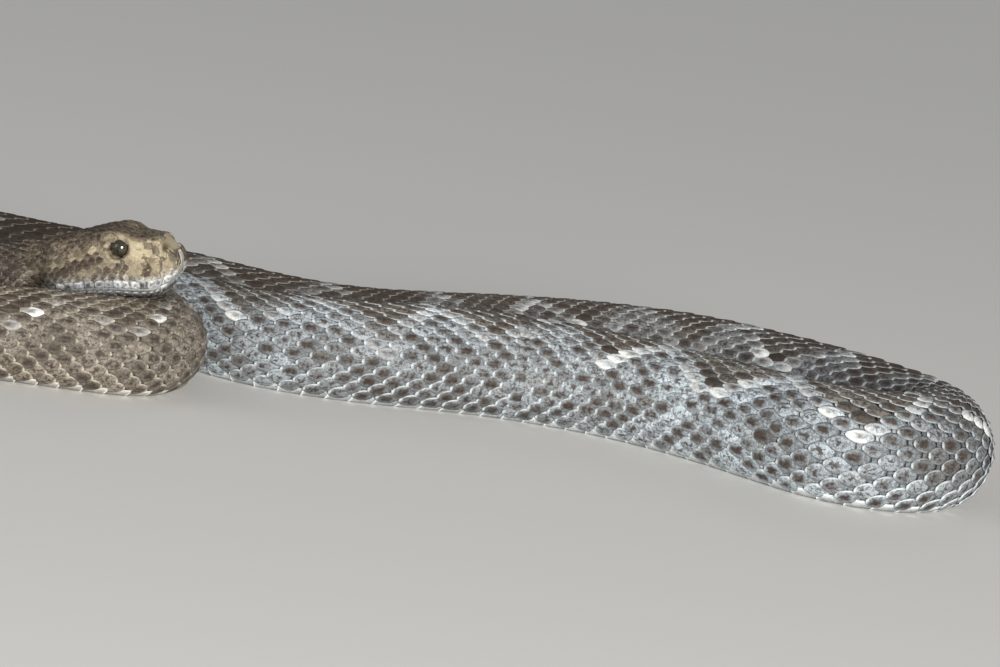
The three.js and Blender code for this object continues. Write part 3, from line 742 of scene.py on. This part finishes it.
BODY_COLUMNS = 64
BODY_STEP = 2.5
rings = np.arange(0, LENGTH, BODY_STEP)
rings = np.append(rings[:-1], LENGTH)
ring_around = -1 + 2 * np.arange(BODY_COLUMNS) / BODY_COLUMNS
ring_grid = skin_point(rings[:, None], ring_around[None, :], 0.0)
body_points = ring_grid.reshape(-1, 3)
columns = head_world.shape[1] - 1
head_points = head_world[1:, :-1].reshape(-1, 3)
first_head = len(body_points)
ratio = columns // BODY_COLUMNS
faces = []
for r in range(len(rings) - 1):
    for c in range(BODY_COLUMNS):
        a, b = r * BODY_COLUMNS + c, r * BODY_COLUMNS + (c + 1) % BODY_COLUMNS
        faces.append((a, b, b + BODY_COLUMNS, a + BODY_COLUMNS))
for c in range(BODY_COLUMNS):
    outer = [first_head + (c * ratio + k) % columns for k in range(ratio + 1)]
    faces.append((c, *outer, (c + 1) % BODY_COLUMNS))
head_rings = head_world.shape[0] - 1
for r in range(head_rings - 1):
    for c in range(columns):
        a, b = first_head + r * columns + c, first_head + r * columns + (c + 1) % columns
        faces.append((a, a + columns, b + columns, b))
last = first_head + (head_rings - 1) * columns
faces.append(tuple(last + c for c in range(columns))[::-1])
tail_start = (len(rings) - 1) * BODY_COLUMNS
faces.append(tuple(tail_start + c for c in range(BODY_COLUMNS)))
skin_points = np.vstack([body_points, head_points]) * MM
skin = joined_mesh("skin", skin_points, faces)
skin_distance = np.concatenate([np.repeat(rings, BODY_COLUMNS), np.repeat(head_x[1:], columns)])
skin_around = np.concatenate([np.tile(ring_around, len(rings)), np.tile(AROUND[:-1], head_rings)])
skin_read = skin_distance, skin_around, skin_points / MM
give_marks(skin.data, all_marks(*skin_read), np.full(len(skin_points), 0.5), looks(*skin_read))
skin.data.materials.append(skin_finish)
skin_tree = BVHTree.FromPolygons([tuple(p) for p in to_head(skin_points / MM)], faces)
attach(skin, "root")
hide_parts("neck", "neck_turn", "body_first_arm", "body_first_loop", "body_second_arm",
            "body_left_turn", "body_back_left", "body_back_middle", "body_back_right", "body_right_bend",
            "body_front_right", "body_front_middle", "body_front_left", "body_hind", "tail", "head", "jaw")


# The body's scales. Hard keeled leaves of skin in 27 rows, and 17 on the tail, each rooted at its
# front end and free at the hind tip, where it lies over the next; rows are set half a scale on from
# their neighbours.
TIP_POWER, ROOT_WIDTH, WIDEST, DROOP = 2.1, 0.5, 0.5, 0.4
KEEL_HALF = 0.16


def grid_of(rows, columns):
    return np.repeat(rows, len(columns)).reshape(len(rows), -1), np.tile(columns, (len(rows), 1))


def rise_along(a):
    """Height from a scale's root to its free tip."""
    return 0.06 + 0.94 * np.sin(a * math.pi * 0.62) ** 0.9


def leaf(rows, columns):
    """One scale: along 0 to 1, across -1 to 1, half width, height and keel at each point of its grid."""
    a, b = grid_of(rows, columns)
    fore = ROOT_WIDTH + (1 - ROOT_WIDTH) * np.sin(np.clip(a / WIDEST, 0, 1) * math.pi / 2)
    hind = np.clip(1 - np.clip((a - WIDEST) / (1.012 - WIDEST), 0, 1) ** TIP_POWER, 0, 1) ** 0.66
    rise = rise_along(a) - DROOP * b**2 * (0.35 + 0.65 * a)
    ridge = np.exp(-(b / KEEL_HALF) ** 2) * np.clip(a / 0.12, 0, 1) * np.clip((1.0 - a) / 0.15, 0, 1)
    return a, b, np.where(a < WIDEST, fore, hind), rise, ridge


LEAF_ROWS = np.array([0, 0.15, 0.32, 0.5, 0.67, 0.81, 0.92, 0.98, 1.0])
LEAF_COLUMNS = np.array([-1, -0.62, -0.18, 0, 0.18, 0.62, 1])
LEAF = leaf(LEAF_ROWS, LEAF_COLUMNS)


def leaf_faces(rows, columns):
    made = [(r * columns + c, r * columns + c + 1, (r + 1) * columns + c + 1, (r + 1) * columns + c)
            for r in range(rows - 1) for c in range(columns - 1)]
    border = ([c for c in range(columns)] + [r * columns + columns - 1 for r in range(1, rows)]
              + [(rows - 1) * columns + c for c in range(columns - 2, -1, -1)]
              + [r * columns for r in range(rows - 2, 0, -1)])
    return made, border


PATCH = 0.003
HEAD_PATCHES_REACH = 54


def lay_scales(name, distance, around, length, width, lift, keel, chance, turned=None, form=LEAF,
               drawn=False):
    """Lays a scale at each place over the skin, as one mesh; drawn ones take marks point by point."""
    a, b, f, rise, ridge = form
    count, rows, cols = len(distance), *a.shape
    run = (a[None] - 0.5) * length[:, None, None]
    out = (b * f)[None] * width[:, None, None]
    if turned is not None:
        c, s = np.cos(turned)[:, None, None], np.sin(turned)[:, None, None]
        run, out = run * c - out * s, run * s + out * c
    d = distance[:, None, None] + run
    q = around[:, None, None] + out / half_round(distance)[:, None, None]
    height = lift[:, None, None] * rise[None] + keel[:, None, None] * ridge[None]
    points = skin_point(d, q, height).reshape(-1, 3) * MM
    quads, border = leaf_faces(rows, cols)
    per = rows * cols
    quad_array = np.array(quads)
    border_array = np.array(border[::-1])
    starts = np.arange(count) * per
    loops = np.concatenate([quad_array.ravel(), border_array])[None, :] + starts[:, None]
    sizes = np.concatenate([np.full(len(quads), 4), [len(border)]])
    loop_starts = np.concatenate([[0], np.cumsum(sizes)[:-1]])
    mesh = bpy.data.meshes.new(name)
    mesh.vertices.add(len(points))
    mesh.vertices.foreach_set("co", points.astype(np.float32).ravel())
    mesh.loops.add(loops.size)
    mesh.loops.foreach_set("vertex_index", loops.ravel().astype(np.int32))
    mesh.polygons.add(count * len(sizes))
    all_starts = (loop_starts[None, :] + (np.arange(count) * sizes.sum())[:, None]).ravel()
    mesh.polygons.foreach_set("loop_start", all_starts.astype(np.int32))
    smooth = np.tile(np.concatenate([np.ones(len(quads), bool), [False]]), count)
    mesh.polygons.foreach_set("use_smooth", smooth)
    mesh.update(calc_edges=True)
    mesh.validate()
    own = mesh.uv_layers.new(name="ScaleMap")
    local = np.stack([a, (b + 1) / 2], axis=-1).reshape(-1, 2)
    order = np.concatenate([quad_array.ravel(), border_array])
    own.data.foreach_set("uv", np.tile(local[order], (count, 1)).astype(np.float32).ravel())
    bake = mesh.uv_layers.new(name="OFBake")
    body_side = distance >= 0
    forward = (distance + HEAD_PATCHES_REACH) / HEAD_PATCHES_REACH
    root_u = np.where(body_side, 0.004 + 0.99 * distance / LENGTH, 0.004 + 0.9 * forward)
    root_v = np.where(body_side, 0.004 + 0.33 * (around + 1), 0.70 + 0.148 * (around + 1))
    place = np.stack([root_u, root_v], axis=-1)[:, None, :] + local[order][None] * PATCH
    bake.data.foreach_set("uv", place.astype(np.float32).ravel())
    if drawn:
        d, q = np.broadcast_arrays(d, q)
        marks, look = (read(d.ravel(), q.ravel(), points / MM) for read in (all_marks, looks))
    else:
        at = distance, around, skin_point(distance, around, 0.0)
        marks, look = (np.repeat(read(*at), per, axis=0) for read in (all_marks, looks))
    give_marks(mesh, marks, np.repeat(chance, per), look)
    mesh.materials.append(scale_finish)
    made = add_object(name, mesh)
    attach(made, "root")


BODY_ROWS = 27
TAIL_ROWS = 17
DORSAL_SHARE = 0.775
PITCH_TO_GIRTH = 0.47
BEND_CLOSES_UP = 0.5
FULL_SIZE_GIRTH = 16.5
LEAF_LONG, LEAF_WIDE, LEAF_LIFT, LEAF_KEEL = 1.26, 0.8, 0.8, 0.3
TAIL_END_BARE = 2.5
STRETCH_FOLLOWED = 0.75
curvature_line = np.linalg.norm(np.gradient(ahead_line, STATIONS, axis=0), axis=1)
rng = np.random.default_rng(7)


def scale_places(start, end, rows):
    """Distance and place round the body of every scale between two ends, in rows set half a step on."""
    steps = [start]
    while steps[-1] < end:
        radius = float(girth(steps[-1]))
        bend = float(np.interp(steps[-1], STATIONS, curvature_line)) * radius
        steps.append(steps[-1] + PITCH_TO_GIRTH * radius / (1 + BEND_CLOSES_UP * bend))
    steps = np.array(steps)
    half = (rows - 1) / 2
    row = np.arange(rows) - half
    k, i = np.meshgrid(np.arange(len(steps) - 1), np.arange(rows), indexing="ij")
    share = np.where(i % 2 == 1, 0.5, 0.0)
    distance = steps[k] + share * (steps[k + 1] - steps[k])
    place = row[i] / max(half, 1)
    around = place * (0.88 + 0.12 * place**2) * DORSAL_SHARE * (1 - 1 / rows)
    return distance.ravel(), around.ravel(), (steps[k + 1] - steps[k]).ravel(), np.abs(place).ravel()


def cover_body(name, start, end, rows):
    distance, around, pitch, place = scale_places(start, end, rows)
    count = len(distance)
    spacing = half_round(distance) * 2 * DORSAL_SHARE / rows * (0.88 + 0.36 * place**2)
    near = skin_point(distance - 1.0, around, 0.0)
    far = skin_point(distance + 1.0, around, 0.0)
    stretch = np.linalg.norm(far - near, axis=-1) / 2.0
    fit = np.clip(stretch ** -STRETCH_FOLLOWED, 0.65, 1.4)
    size = girth(distance) / FULL_SIZE_GIRTH
    low = soft(0.7, 0.95, place)
    length = pitch * (LEAF_LONG - 0.08 * low) * fit * rng.normal(1, 0.03, count)
    width = spacing * (LEAF_WIDE + 0.1 * low) * rng.normal(1, 0.04, count)
    lift = LEAF_LIFT * size * rng.normal(1, 0.08, count)
    keel = LEAF_KEEL * size * (1 - low)
    lay_scales(name, distance + pitch * 0.2, around, length, width, lift, keel, rng.random(count))


for name, start, end in (("scales_neck", 0.0, 0.158), ("scales_first_loop", 0.158, 0.342),
                         ("scales_back", 0.342, 0.575), ("scales_right_bend", 0.575, 0.735),
                         ("scales_front", 0.735, VENT)):
    cover_body(name, start * LENGTH, end * LENGTH, BODY_ROWS)
cover_body("scales_tail", VENT * LENGTH, LENGTH - TAIL_END_BARE, TAIL_ROWS)

# The belly's plates. One broad smooth plate for each row of scales, from flank to flank under the
# body, its hind edge free over the next, flat where the animal lies on the floor.
PLATE_ROWS = np.array([0, 0.3, 0.7, 0.94, 1.0])
PLATE_COLUMNS = np.linspace(-1, 1, 17)
PLATE_LIFT = 0.42
plate_a, plate_b = grid_of(PLATE_ROWS, PLATE_COLUMNS)
BELLY_PLATE = (plate_a, plate_b, 1 - 0.06 * (plate_a > 0.97), rise_along(plate_a), np.zeros_like(plate_a))
belly_at, _, belly_pitch, _ = scale_places(0.0, LENGTH - TAIL_END_BARE, 1)
belly_count = len(belly_at)
lay_scales("belly_plates", belly_at + belly_pitch * 0.5, np.full(belly_count, 1.0), belly_pitch * 1.3,
           half_round(belly_at) * (1 - DORSAL_SHARE + 0.018), np.full(belly_count, PLATE_LIFT),
           np.zeros(belly_count), 0.3 + 0.4 * rng.random(belly_count), form=BELLY_PLATE)

# The head's scales. Small keeled scales cover the crown, temples and cheeks; they grow towards the
# neck, and leave room for the plates round the eye, the snout and the lips.
HEAD_ROWS = 31
SNOUT_ROWS = 15
SNOUT_PLATES_FROM = 42.5
ROSTRAL_LOW, ROSTRAL_HIGH, ROSTRAL_HALF = -2.9, 5.0, 2.3


def around_at(x, z):
    """How far round the head, on its left, a height is reached at a station."""
    row = float(np.interp(x * HEAD_SCALE, -head_x, np.arange(len(head_x))))
    i = min(int(row), len(head_x) - 2)
    here, ahead = head_grid[i:i + 2, HALF_COLUMNS - 1:, 2]
    profile = here * (i + 1 - row) + ahead * (row - i)
    falling = np.minimum.accumulate(profile) - np.arange(HALF_COLUMNS) * 1e-6
    return float(np.interp(-z, -falling, AROUND[HALF_COLUMNS - 1:]))


def lip_around(x):
    return around_at(x, float(head_size("lip", x)))


SMALL_FROM, SMALL_TO = 50.2, 0.5
SNOUT_PITCH, TEMPLES_ADD, NECK_ADDS = 1.6, 0.7, 1.9
SIDE_REACH, SIDE_REACH_ADDS = 0.66, 0.05
CLEAR_OF_EYE, CLEAR_OF_NOSTRIL, CLEAR_OF_PIT, CLEAR_OF_LIPS = 3.5, 2.3, 1.7, 2.3
small = []
x = SMALL_FROM
while x > SMALL_TO:
    pitch = SNOUT_PITCH + TEMPLES_ADD * (1 - soft(26, 42, x)) + NECK_ADDS * (1 - soft(0, 12, x))
    edge = lip_around(x) if x > MOUTH_CORNER else SIDE_REACH + SIDE_REACH_ADDS * (1 - x / MOUTH_CORNER)
    rows = HEAD_ROWS if x < SNOUT_PLATES_FROM else SNOUT_ROWS
    for i in range(rows):
        place = (i - (rows - 1) / 2) / (rows / 2)
        at = x - (0.5 * pitch if i % 2 else 0)
        small.append((-at * HEAD_SCALE, place * edge, pitch, edge * 2 / rows))
    x -= pitch
small = np.array(small)
where = to_head(skin_point(small[:, 0], small[:, 1], 0.0))
off_eye = np.hypot(where[:, 0] - EYE_X, where[:, 2] - EYE_Z) > CLEAR_OF_EYE
from_nostril = where[:, 0] - NOSTRIL[0]
from_nostril = from_nostril * np.where(from_nostril > 0, 1.2, 0.9)
off_nostril = np.hypot(from_nostril, (where[:, 2] - NOSTRIL[1]) * 0.72) > CLEAR_OF_NOSTRIL
off_tip = (np.abs(where[:, 1]) > ROSTRAL_HALF - 0.1) | (where[:, 2] > ROSTRAL_HIGH + 0.6)
off_tip = off_tip | (where[:, 0] < 43)
off_pit = np.hypot(where[:, 0] - PIT[0] - 0.3, where[:, 2] - PIT[1]) > CLEAR_OF_PIT
off_lips = (where[:, 2] > head_size("lip", where[:, 0]) + CLEAR_OF_LIPS) | (where[:, 0] < 11)
kept = small[(off_eye | (np.abs(where[:, 1]) < 5.5)) & off_nostril & off_pit & off_lips & off_tip]
count = len(kept)
spacing = half_round(kept[:, 0]) * kept[:, 3]
lay_scales("scales_head", kept[:, 0], kept[:, 1], kept[:, 2] * 1.5 * rng.normal(1, 0.05, count),
           spacing * 0.98 * rng.normal(1, 0.05, count), 0.42 * kept[:, 2] / 2.2 * rng.normal(1, 0.12, count),
           0.16 * kept[:, 2] / 2.0, rng.random(count), turned=rng.normal(0, 0.06, count))

# The head's plates. Hard smooth shields: the brow over each eye, a ring of little ones round the
# eye, shields between eye and nostril, and rows along both lips.
def shield(rows, columns, roundness):
    a, b = grid_of(rows, columns)
    half = np.maximum(0.3, (1 - np.abs(2 * a - 1) ** roundness) ** (1 / roundness))
    edge = np.maximum(np.abs(2 * a - 1), np.abs(b))
    return a, b, half, 1 - 0.85 * edge**5, np.zeros_like(a)


SHIELD_LINE = np.array([0, 0.05, 0.16, 0.36, 0.64, 0.84, 0.95, 1.0])
SHIELD = shield(SHIELD_LINE, SHIELD_LINE * 2 - 1, 3.2)
LIP_SHIELD = shield(SHIELD_LINE, SHIELD_LINE * 2 - 1, 5)
shields, lip_shields = [], []


def add_shield(kind, x, z, long, tall, lift, slope=0.0):
    around = around_at(x, z)
    for sign in (-1, 1):
        kind.append((-x * HEAD_SCALE, sign * around, long, tall / 2, lift, sign * slope))


for shield_sizes in (
        (30.4, 10.8, 10.0, 3.6, 0.9), (36.4, 7.9, 4.4, 2.6, 0.6, 0.12), (39.9, 7.3, 3.1, 2.3, 0.55, 0.1),
        (36.4, 5.5, 4.4, 2.4, 0.55, 0.05), (40.0, 5.2, 2.9, 2.2, 0.5), (47.0, 4.4, 1.7, 2.6, 0.45),
        (42.0, 6.0, 2.2, 3.2, 0.5), (38.2, 9.3, 4.2, 2.5, 0.5), (42.4, 8.5, 3.8, 2.3, 0.5),
        (37.6, 3.3, 3.2, 1.6, 0.5, 0.2), (41.6, 3.2, 2.6, 1.8, 0.45), (44.6, 1.6, 2.4, 2.4, 0.45),
        (41.9, 0.4, 2.4, 2.2, 0.45), (36.9, 0.2, 2.4, 2.0, 0.45), (39.3, -0.7, 2.4, 1.7, 0.45)):
    add_shield(shields, *shield_sizes)
RIM_SHIELDS, RIM_LONG, RIM_TALL = 17, 3.75, 3.55
RIM_FROM_DEG, RIM_SWEEP_DEG = 150, 240
for i in range(RIM_SHIELDS):
    turn_angle = math.radians(RIM_FROM_DEG + RIM_SWEEP_DEG * i / (RIM_SHIELDS - 1))
    x, z = EYE_X + RIM_LONG * math.cos(turn_angle), EYE_Z + RIM_TALL * math.sin(turn_angle)
    add_shield(shields, x, z, 1.6, 1.5, 0.5)
LIPS_FROM, LIPS_TO, LIP_TILT = 45.6, 12, -0.1
LIP_LONG, LIP_LONG_BEHIND, LIP_LONGER_BEHIND = 2.55, 2.9, 26
x = LIPS_FROM
while x > LIPS_TO:
    long = LIP_LONG if x > LIP_LONGER_BEHIND else LIP_LONG_BEHIND
    lip = float(head_size("lip", x))
    add_shield(lip_shields, x, lip + 1.5, long * 1.02, 2.5, 0.55, LIP_TILT)
    add_shield(shields, x - 0.9, lip + 3.5, long * 0.95, 1.9, 0.45, LIP_TILT)
    around = lip_around(x) + 1.75 / float(half_round(-x * HEAD_SCALE))
    for sign in (-1, 1):
        lip_shields.append((-x * HEAD_SCALE, sign * around, long * 1.02, 1.15, 0.5, 0.0))
    x -= long * 0.97
for name, table, form in (("shields_head", shields, SHIELD), ("shields_lips", lip_shields, LIP_SHIELD)):
    table = np.array(table)
    lay_scales(name, table[:, 0], table[:, 1], table[:, 2], table[:, 3], table[:, 4], np.zeros(len(table)),
               rng.random(len(table)), turned=table[:, 5], form=form, drawn=True)

# The chin and throat. Smooth horny scales in nine rows under the jaw, each lying over the next one
# back, between the lip shields of the two sides.
CHIN_ROWS, CHIN_PITCH, CHIN_LONG, CHIN_LIFT = 9, 3.0, 4.3, 0.4
CHIN_FROM, CHIN_TO, THROAT_EDGE, CLEAR_OF_LIP_LINE = 45.0, 1.0, 0.72, 3.0
chin = []
x = CHIN_FROM
while x > CHIN_TO:
    edge = lip_around(x) if x > MOUTH_CORNER else THROAT_EDGE
    edge += CLEAR_OF_LIP_LINE / float(half_round(-x * HEAD_SCALE))
    for i in range(CHIN_ROWS):
        place = (i - (CHIN_ROWS - 1) / 2) / (CHIN_ROWS / 2)
        back = CHIN_PITCH / 2 if i % 2 else 0
        chin.append(((-x + back) * HEAD_SCALE, 1 + place * (1 - edge), 1 - edge))
    x -= CHIN_PITCH
chin = np.array(chin)
chin = chin[chin[:, 0] < -1.5]
count = len(chin)
lay_scales("scales_chin", chin[:, 0], chin[:, 1], np.full(count, CHIN_LONG),
           half_round(chin[:, 0]) * chin[:, 2] * 2 / CHIN_ROWS * 0.98, np.full(count, CHIN_LIFT),
           np.zeros(count), rng.random(count))

# The rostral shield. One hard plate that covers the tip of the snout between the first lip shields,
# laid straight on from the front.
a, b, f, rise, _ = LIP_SHIELD
rows_z = ROSTRAL_LOW + (ROSTRAL_HIGH - ROSTRAL_LOW) * a
rows_y = b * f * ROSTRAL_HALF * (1 - 0.35 * a)
front = []
for y, z, h in zip(rows_y.ravel(), rows_z.ravel(), rise.ravel()):
    hit = skin_tree.ray_cast(Vector((70, y, z)), Vector((-1, 0, 0)))[0]
    front.append((hit.x - 0.12 + 0.34 * h, y, z))
quads, border = leaf_faces(*a.shape)
rostral = joined_mesh("shield_rostral", from_head(np.array(front)) * MM,
                      [q[::-1] for q in quads] + [tuple(border)])
own = rostral.data.uv_layers.new(name="ScaleMap")
bake = rostral.data.uv_layers.new(name="OFBake")
for polygon in rostral.data.polygons:
    for loop in polygon.loop_indices:
        v = rostral.data.loops[loop].vertex_index
        own.data[loop].uv = (a.ravel()[v], (b.ravel()[v] + 1) / 2)
        bake.data[loop].uv = (0.02 + a.ravel()[v] * PATCH, 0.9 + (b.ravel()[v] + 1) * PATCH / 2)
# The rostral's looks: rim with painted highlight 0.8, painted cool tint 0.5, cream 0.4.
give_marks(rostral.data, head_marks(np.array(front)) * (1, 0.3, 0) + (0, 0, 0.5), np.full(len(front), 0.6),
           np.tile((0.8, 0.5, 0.4), (len(front), 1)))
rostral.data.materials.append(scale_finish)
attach(rostral, "root")

# The eyes. Clear hard spectacles over a dark brown iris, with an upright slit of a pupil, set deep
# under the brow shields.
PUPIL_NARROW, PUPIL_TALL = 3.6, 1.15
eye_finish, tree, shader = new_finish("eye finish")
eye_map = node(tree, "ShaderNodeUVMap", uv_map="EyeMap")
split = node(tree, "ShaderNodeSeparateXYZ")
tree.links.new(eye_map.outputs[0], split.inputs[0])
side_way = calc(tree, "SUBTRACT", split.outputs[0], 0.5)
up_way = calc(tree, "SUBTRACT", split.outputs[1], 0.5)
far = calc(tree, "ADD", calc(tree, "MULTIPLY", side_way, side_way), calc(tree, "MULTIPLY", up_way, up_way))
far = calc(tree, "SQRT", far)
slit_across = calc(tree, "ABSOLUTE", calc(tree, "MULTIPLY", side_way, PUPIL_NARROW))
slit_up = calc(tree, "ABSOLUTE", calc(tree, "MULTIPLY", up_way, PUPIL_TALL))
slit = calc(tree, "ADD", slit_across, slit_up)
speckle = noise(tree, eye_map.outputs[0], 26, 5, 0.7)
iris = blend(tree, spread(tree, speckle, 0.4, 0.62), (0.018, 0.014, 0.01, 1), (0.065, 0.052, 0.034, 1))
iris = blend(tree, spread(tree, calc(tree, "ABSOLUTE", up_way), 0.12, 0.3), iris, (0.03, 0.025, 0.018, 1))
iris = blend(tree, spread(tree, slit, 0.36, 0.27), iris, (0.008, 0.007, 0.006, 1))
iris = blend(tree, spread(tree, far, 0.4, 0.46), iris, (0.02, 0.016, 0.012, 1))
tree.links.new(iris, shader.inputs["Base Color"])
shader.inputs["Roughness"].default_value = 0.08
shader.inputs["Coat Weight"].default_value = 1.0
shader.inputs["Coat Roughness"].default_value = 0.03
for name, sign in (("eyeball_right", -1), ("eyeball_left", 1)):
    mesh = bpy.data.meshes.new(name)
    ball = bmesh.new()
    bmesh.ops.create_uvsphere(ball, u_segments=48, v_segments=32, radius=EYE_RADIUS)
    bmesh.ops.rotate(ball, verts=ball.verts, cent=(0, 0, 0), matrix=Matrix.Rotation(math.radians(90), 3, "X"))
    ball.to_mesh(mesh)
    ball.free()
    local = np.array([v.co for v in mesh.vertices])
    layer = mesh.uv_layers.new(name="EyeMap")
    reach = EYE_RADIUS * 2.1
    for loop in mesh.loops:
        co = local[loop.vertex_index]
        layer.data[loop.index].uv = (0.5 + co[0] / reach * (1 if sign < 0 else -1), 0.5 + co[2] / reach)
    places = from_head(local + (EYE_X, sign * EYE_Y, EYE_Z)) * MM
    mesh.vertices.foreach_set("co", places.astype(np.float32).ravel())
    mesh.polygons.foreach_set("use_smooth", [True] * len(mesh.polygons))
    mesh.materials.append(eye_finish)
    mesh.update()
    eyeball = add_object(name, mesh)
    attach(eyeball, "root")
    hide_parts("eye_right" if sign < 0 else "eye_left")

# The rattle. Eight hollow horny segments, each grown over the last and nipped in at its root, flat
# from side to side with a groove along the flank. Geometry nodes set one segment in a row.
RATTLE_SEGMENTS, RATTLE_PITCH, RATTLE_HEIGHT, RATTLE_WIDTH = 8, 2.9, 11.4, 7.6
RATTLE_SHRINK = 0.035
RATTLE_GAP = 0.3
SEGMENT = [(0.03, 0.66), (0.07, 0.8), (0.16, 0.9), (0.3, 0.955), (0.4, 0.93), (0.46, 0.94),
           (0.62, 0.975), (0.78, 0.93), (0.9, 0.84), (0.94, 0.72)]
SEGMENT_SIDES = 36
RATTLE_GROOVE = 0.16
turn_around = np.linspace(0, 2 * math.pi, SEGMENT_SIDES, endpoint=False)
groove = 1 - RATTLE_GROOVE * np.sin(turn_around) ** 6
segment_points = [(along * RATTLE_PITCH, RATTLE_WIDTH / 2 * math.sin(t) * swell * g,
                   RATTLE_HEIGHT / 2 * math.cos(t) * swell)
                  for along, swell in SEGMENT for t, g in zip(turn_around, groove)]
segment_faces = [(r * SEGMENT_SIDES + c, r * SEGMENT_SIDES + (c + 1) % SEGMENT_SIDES,
                  (r + 1) * SEGMENT_SIDES + (c + 1) % SEGMENT_SIDES, (r + 1) * SEGMENT_SIDES + c)
                 for r in range(len(SEGMENT) - 1) for c in range(SEGMENT_SIDES)]
segment_faces.append(tuple(range(SEGMENT_SIDES))[::-1])
segment_faces.append(tuple((len(SEGMENT) - 1) * SEGMENT_SIDES + c for c in range(SEGMENT_SIDES)))
segment = joined_mesh("rattle segment", segment_points, segment_faces)

row_tree = bpy.data.node_groups.new("rattle row", "GeometryNodeTree")
socket(row_tree, "Geometry", "NodeSocketGeometry")
socket(row_tree, "Count", "NodeSocketInt", RATTLE_SEGMENTS)
socket(row_tree, "Pitch", "NodeSocketFloat", RATTLE_PITCH)
socket(row_tree, "Height", "NodeSocketFloat", RATTLE_HEIGHT)
socket(row_tree, "Shrink", "NodeSocketFloat", RATTLE_SHRINK)
socket(row_tree, "Finish", "NodeSocketMaterial")
socket(row_tree, "Geometry", "NodeSocketGeometry", way="OUTPUT")
source = node(row_tree, "NodeGroupInput").outputs
size_at = calc(row_tree, "MULTIPLY", node(row_tree, "GeometryNodeInputIndex").outputs[0], source["Shrink"])
size_at = calc(row_tree, "SUBTRACT", 1.0, size_at)
offset = node(row_tree, "ShaderNodeCombineXYZ")
row_tree.links.new(source["Pitch"], offset.inputs[0])
line = node(row_tree, "GeometryNodeMeshLine")
row_tree.links.new(source["Count"], line.inputs["Count"])
row_tree.links.new(offset.outputs[0], line.inputs["Offset"])
rise_by = node(row_tree, "ShaderNodeCombineXYZ")
half_height = calc(row_tree, "MULTIPLY", source["Height"], 0.5)
row_tree.links.new(calc(row_tree, "MULTIPLY", half_height, size_at), rise_by.inputs[2])
raised = node(row_tree, "GeometryNodeSetPosition")
row_tree.links.new(line.outputs[0], raised.inputs["Geometry"])
row_tree.links.new(rise_by.outputs[0], raised.inputs["Offset"])
even = node(row_tree, "ShaderNodeCombineXYZ")
even.inputs[0].default_value = 1.0
row_tree.links.new(size_at, even.inputs[1])
row_tree.links.new(size_at, even.inputs[2])
placed = node(row_tree, "GeometryNodeInstanceOnPoints")
row_tree.links.new(raised.outputs[0], placed.inputs["Points"])
row_tree.links.new(source["Geometry"], placed.inputs["Instance"])
row_tree.links.new(even.outputs[0], placed.inputs["Scale"])
realized = node(row_tree, "GeometryNodeRealizeInstances")
row_tree.links.new(placed.outputs[0], realized.inputs[0])
painted = node(row_tree, "GeometryNodeSetMaterial")
row_tree.links.new(realized.outputs[0], painted.inputs["Geometry"])
row_tree.links.new(source["Finish"], painted.inputs["Material"])
row_tree.links.new(painted.outputs[0], node(row_tree, "NodeGroupOutput").inputs[0])

horn_finish, tree, shader = new_finish("horn finish")
place = node(tree, "ShaderNodeTexCoord").outputs["Object"]
streaks = noise(tree, place, 420, 4, 0.6)
horn = blend(tree, spread(tree, streaks, 0.35, 0.65), (0.26, 0.195, 0.115, 1), (0.42, 0.335, 0.215, 1))
horn = blend(tree, spread(tree, noise(tree, place, 1300, 3, 0.6), 0.56, 0.66), horn, (0.13, 0.09, 0.055, 1))
tree.links.new(horn, shader.inputs["Base Color"])
tree.links.new(spread(tree, streaks, 0.3, 0.7, 0.32, 0.5), shader.inputs["Roughness"])
bumped(tree, streaks, 0.4, 0.0002, shader)

modifier = segment.modifiers.new("rattle row", "NODES")
modifier.node_group = row_tree
for item in row_tree.interface.items_tree:
    if item.in_out == "INPUT" and item.name == "Finish":
        modifier[item.identifier] = horn_finish
depsgraph = bpy.context.evaluated_depsgraph_get()
rattle_mesh = bpy.data.meshes.new_from_object(segment.evaluated_get(depsgraph))
segment.modifiers.remove(modifier)
bpy.data.objects.remove(segment)
tail_end, tail_ahead, tail_side = (along_body(line_of, np.array([LENGTH]))[0]
                                   for line_of in (axis_line, ahead_line, side_line))
local = np.empty(len(rattle_mesh.vertices) * 3)
rattle_mesh.vertices.foreach_get("co", local)
local = local.reshape(-1, 3)
tail_up = np.cross(tail_side, tail_ahead)
places = (tail_end + np.outer(local[:, 0] + RATTLE_GAP, tail_ahead) + np.outer(local[:, 1], tail_side)
          + np.outer(local[:, 2] - tail_end[2], tail_up))
places[:, 2] = np.maximum(places[:, 2], 0.05)
rattle_mesh.vertices.foreach_set("co", (places * MM).astype(np.float32).ravel())
rattle_mesh.update()
rattle = add_object("rattle_segments", rattle_mesh)
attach(rattle, "root")
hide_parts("rattle")
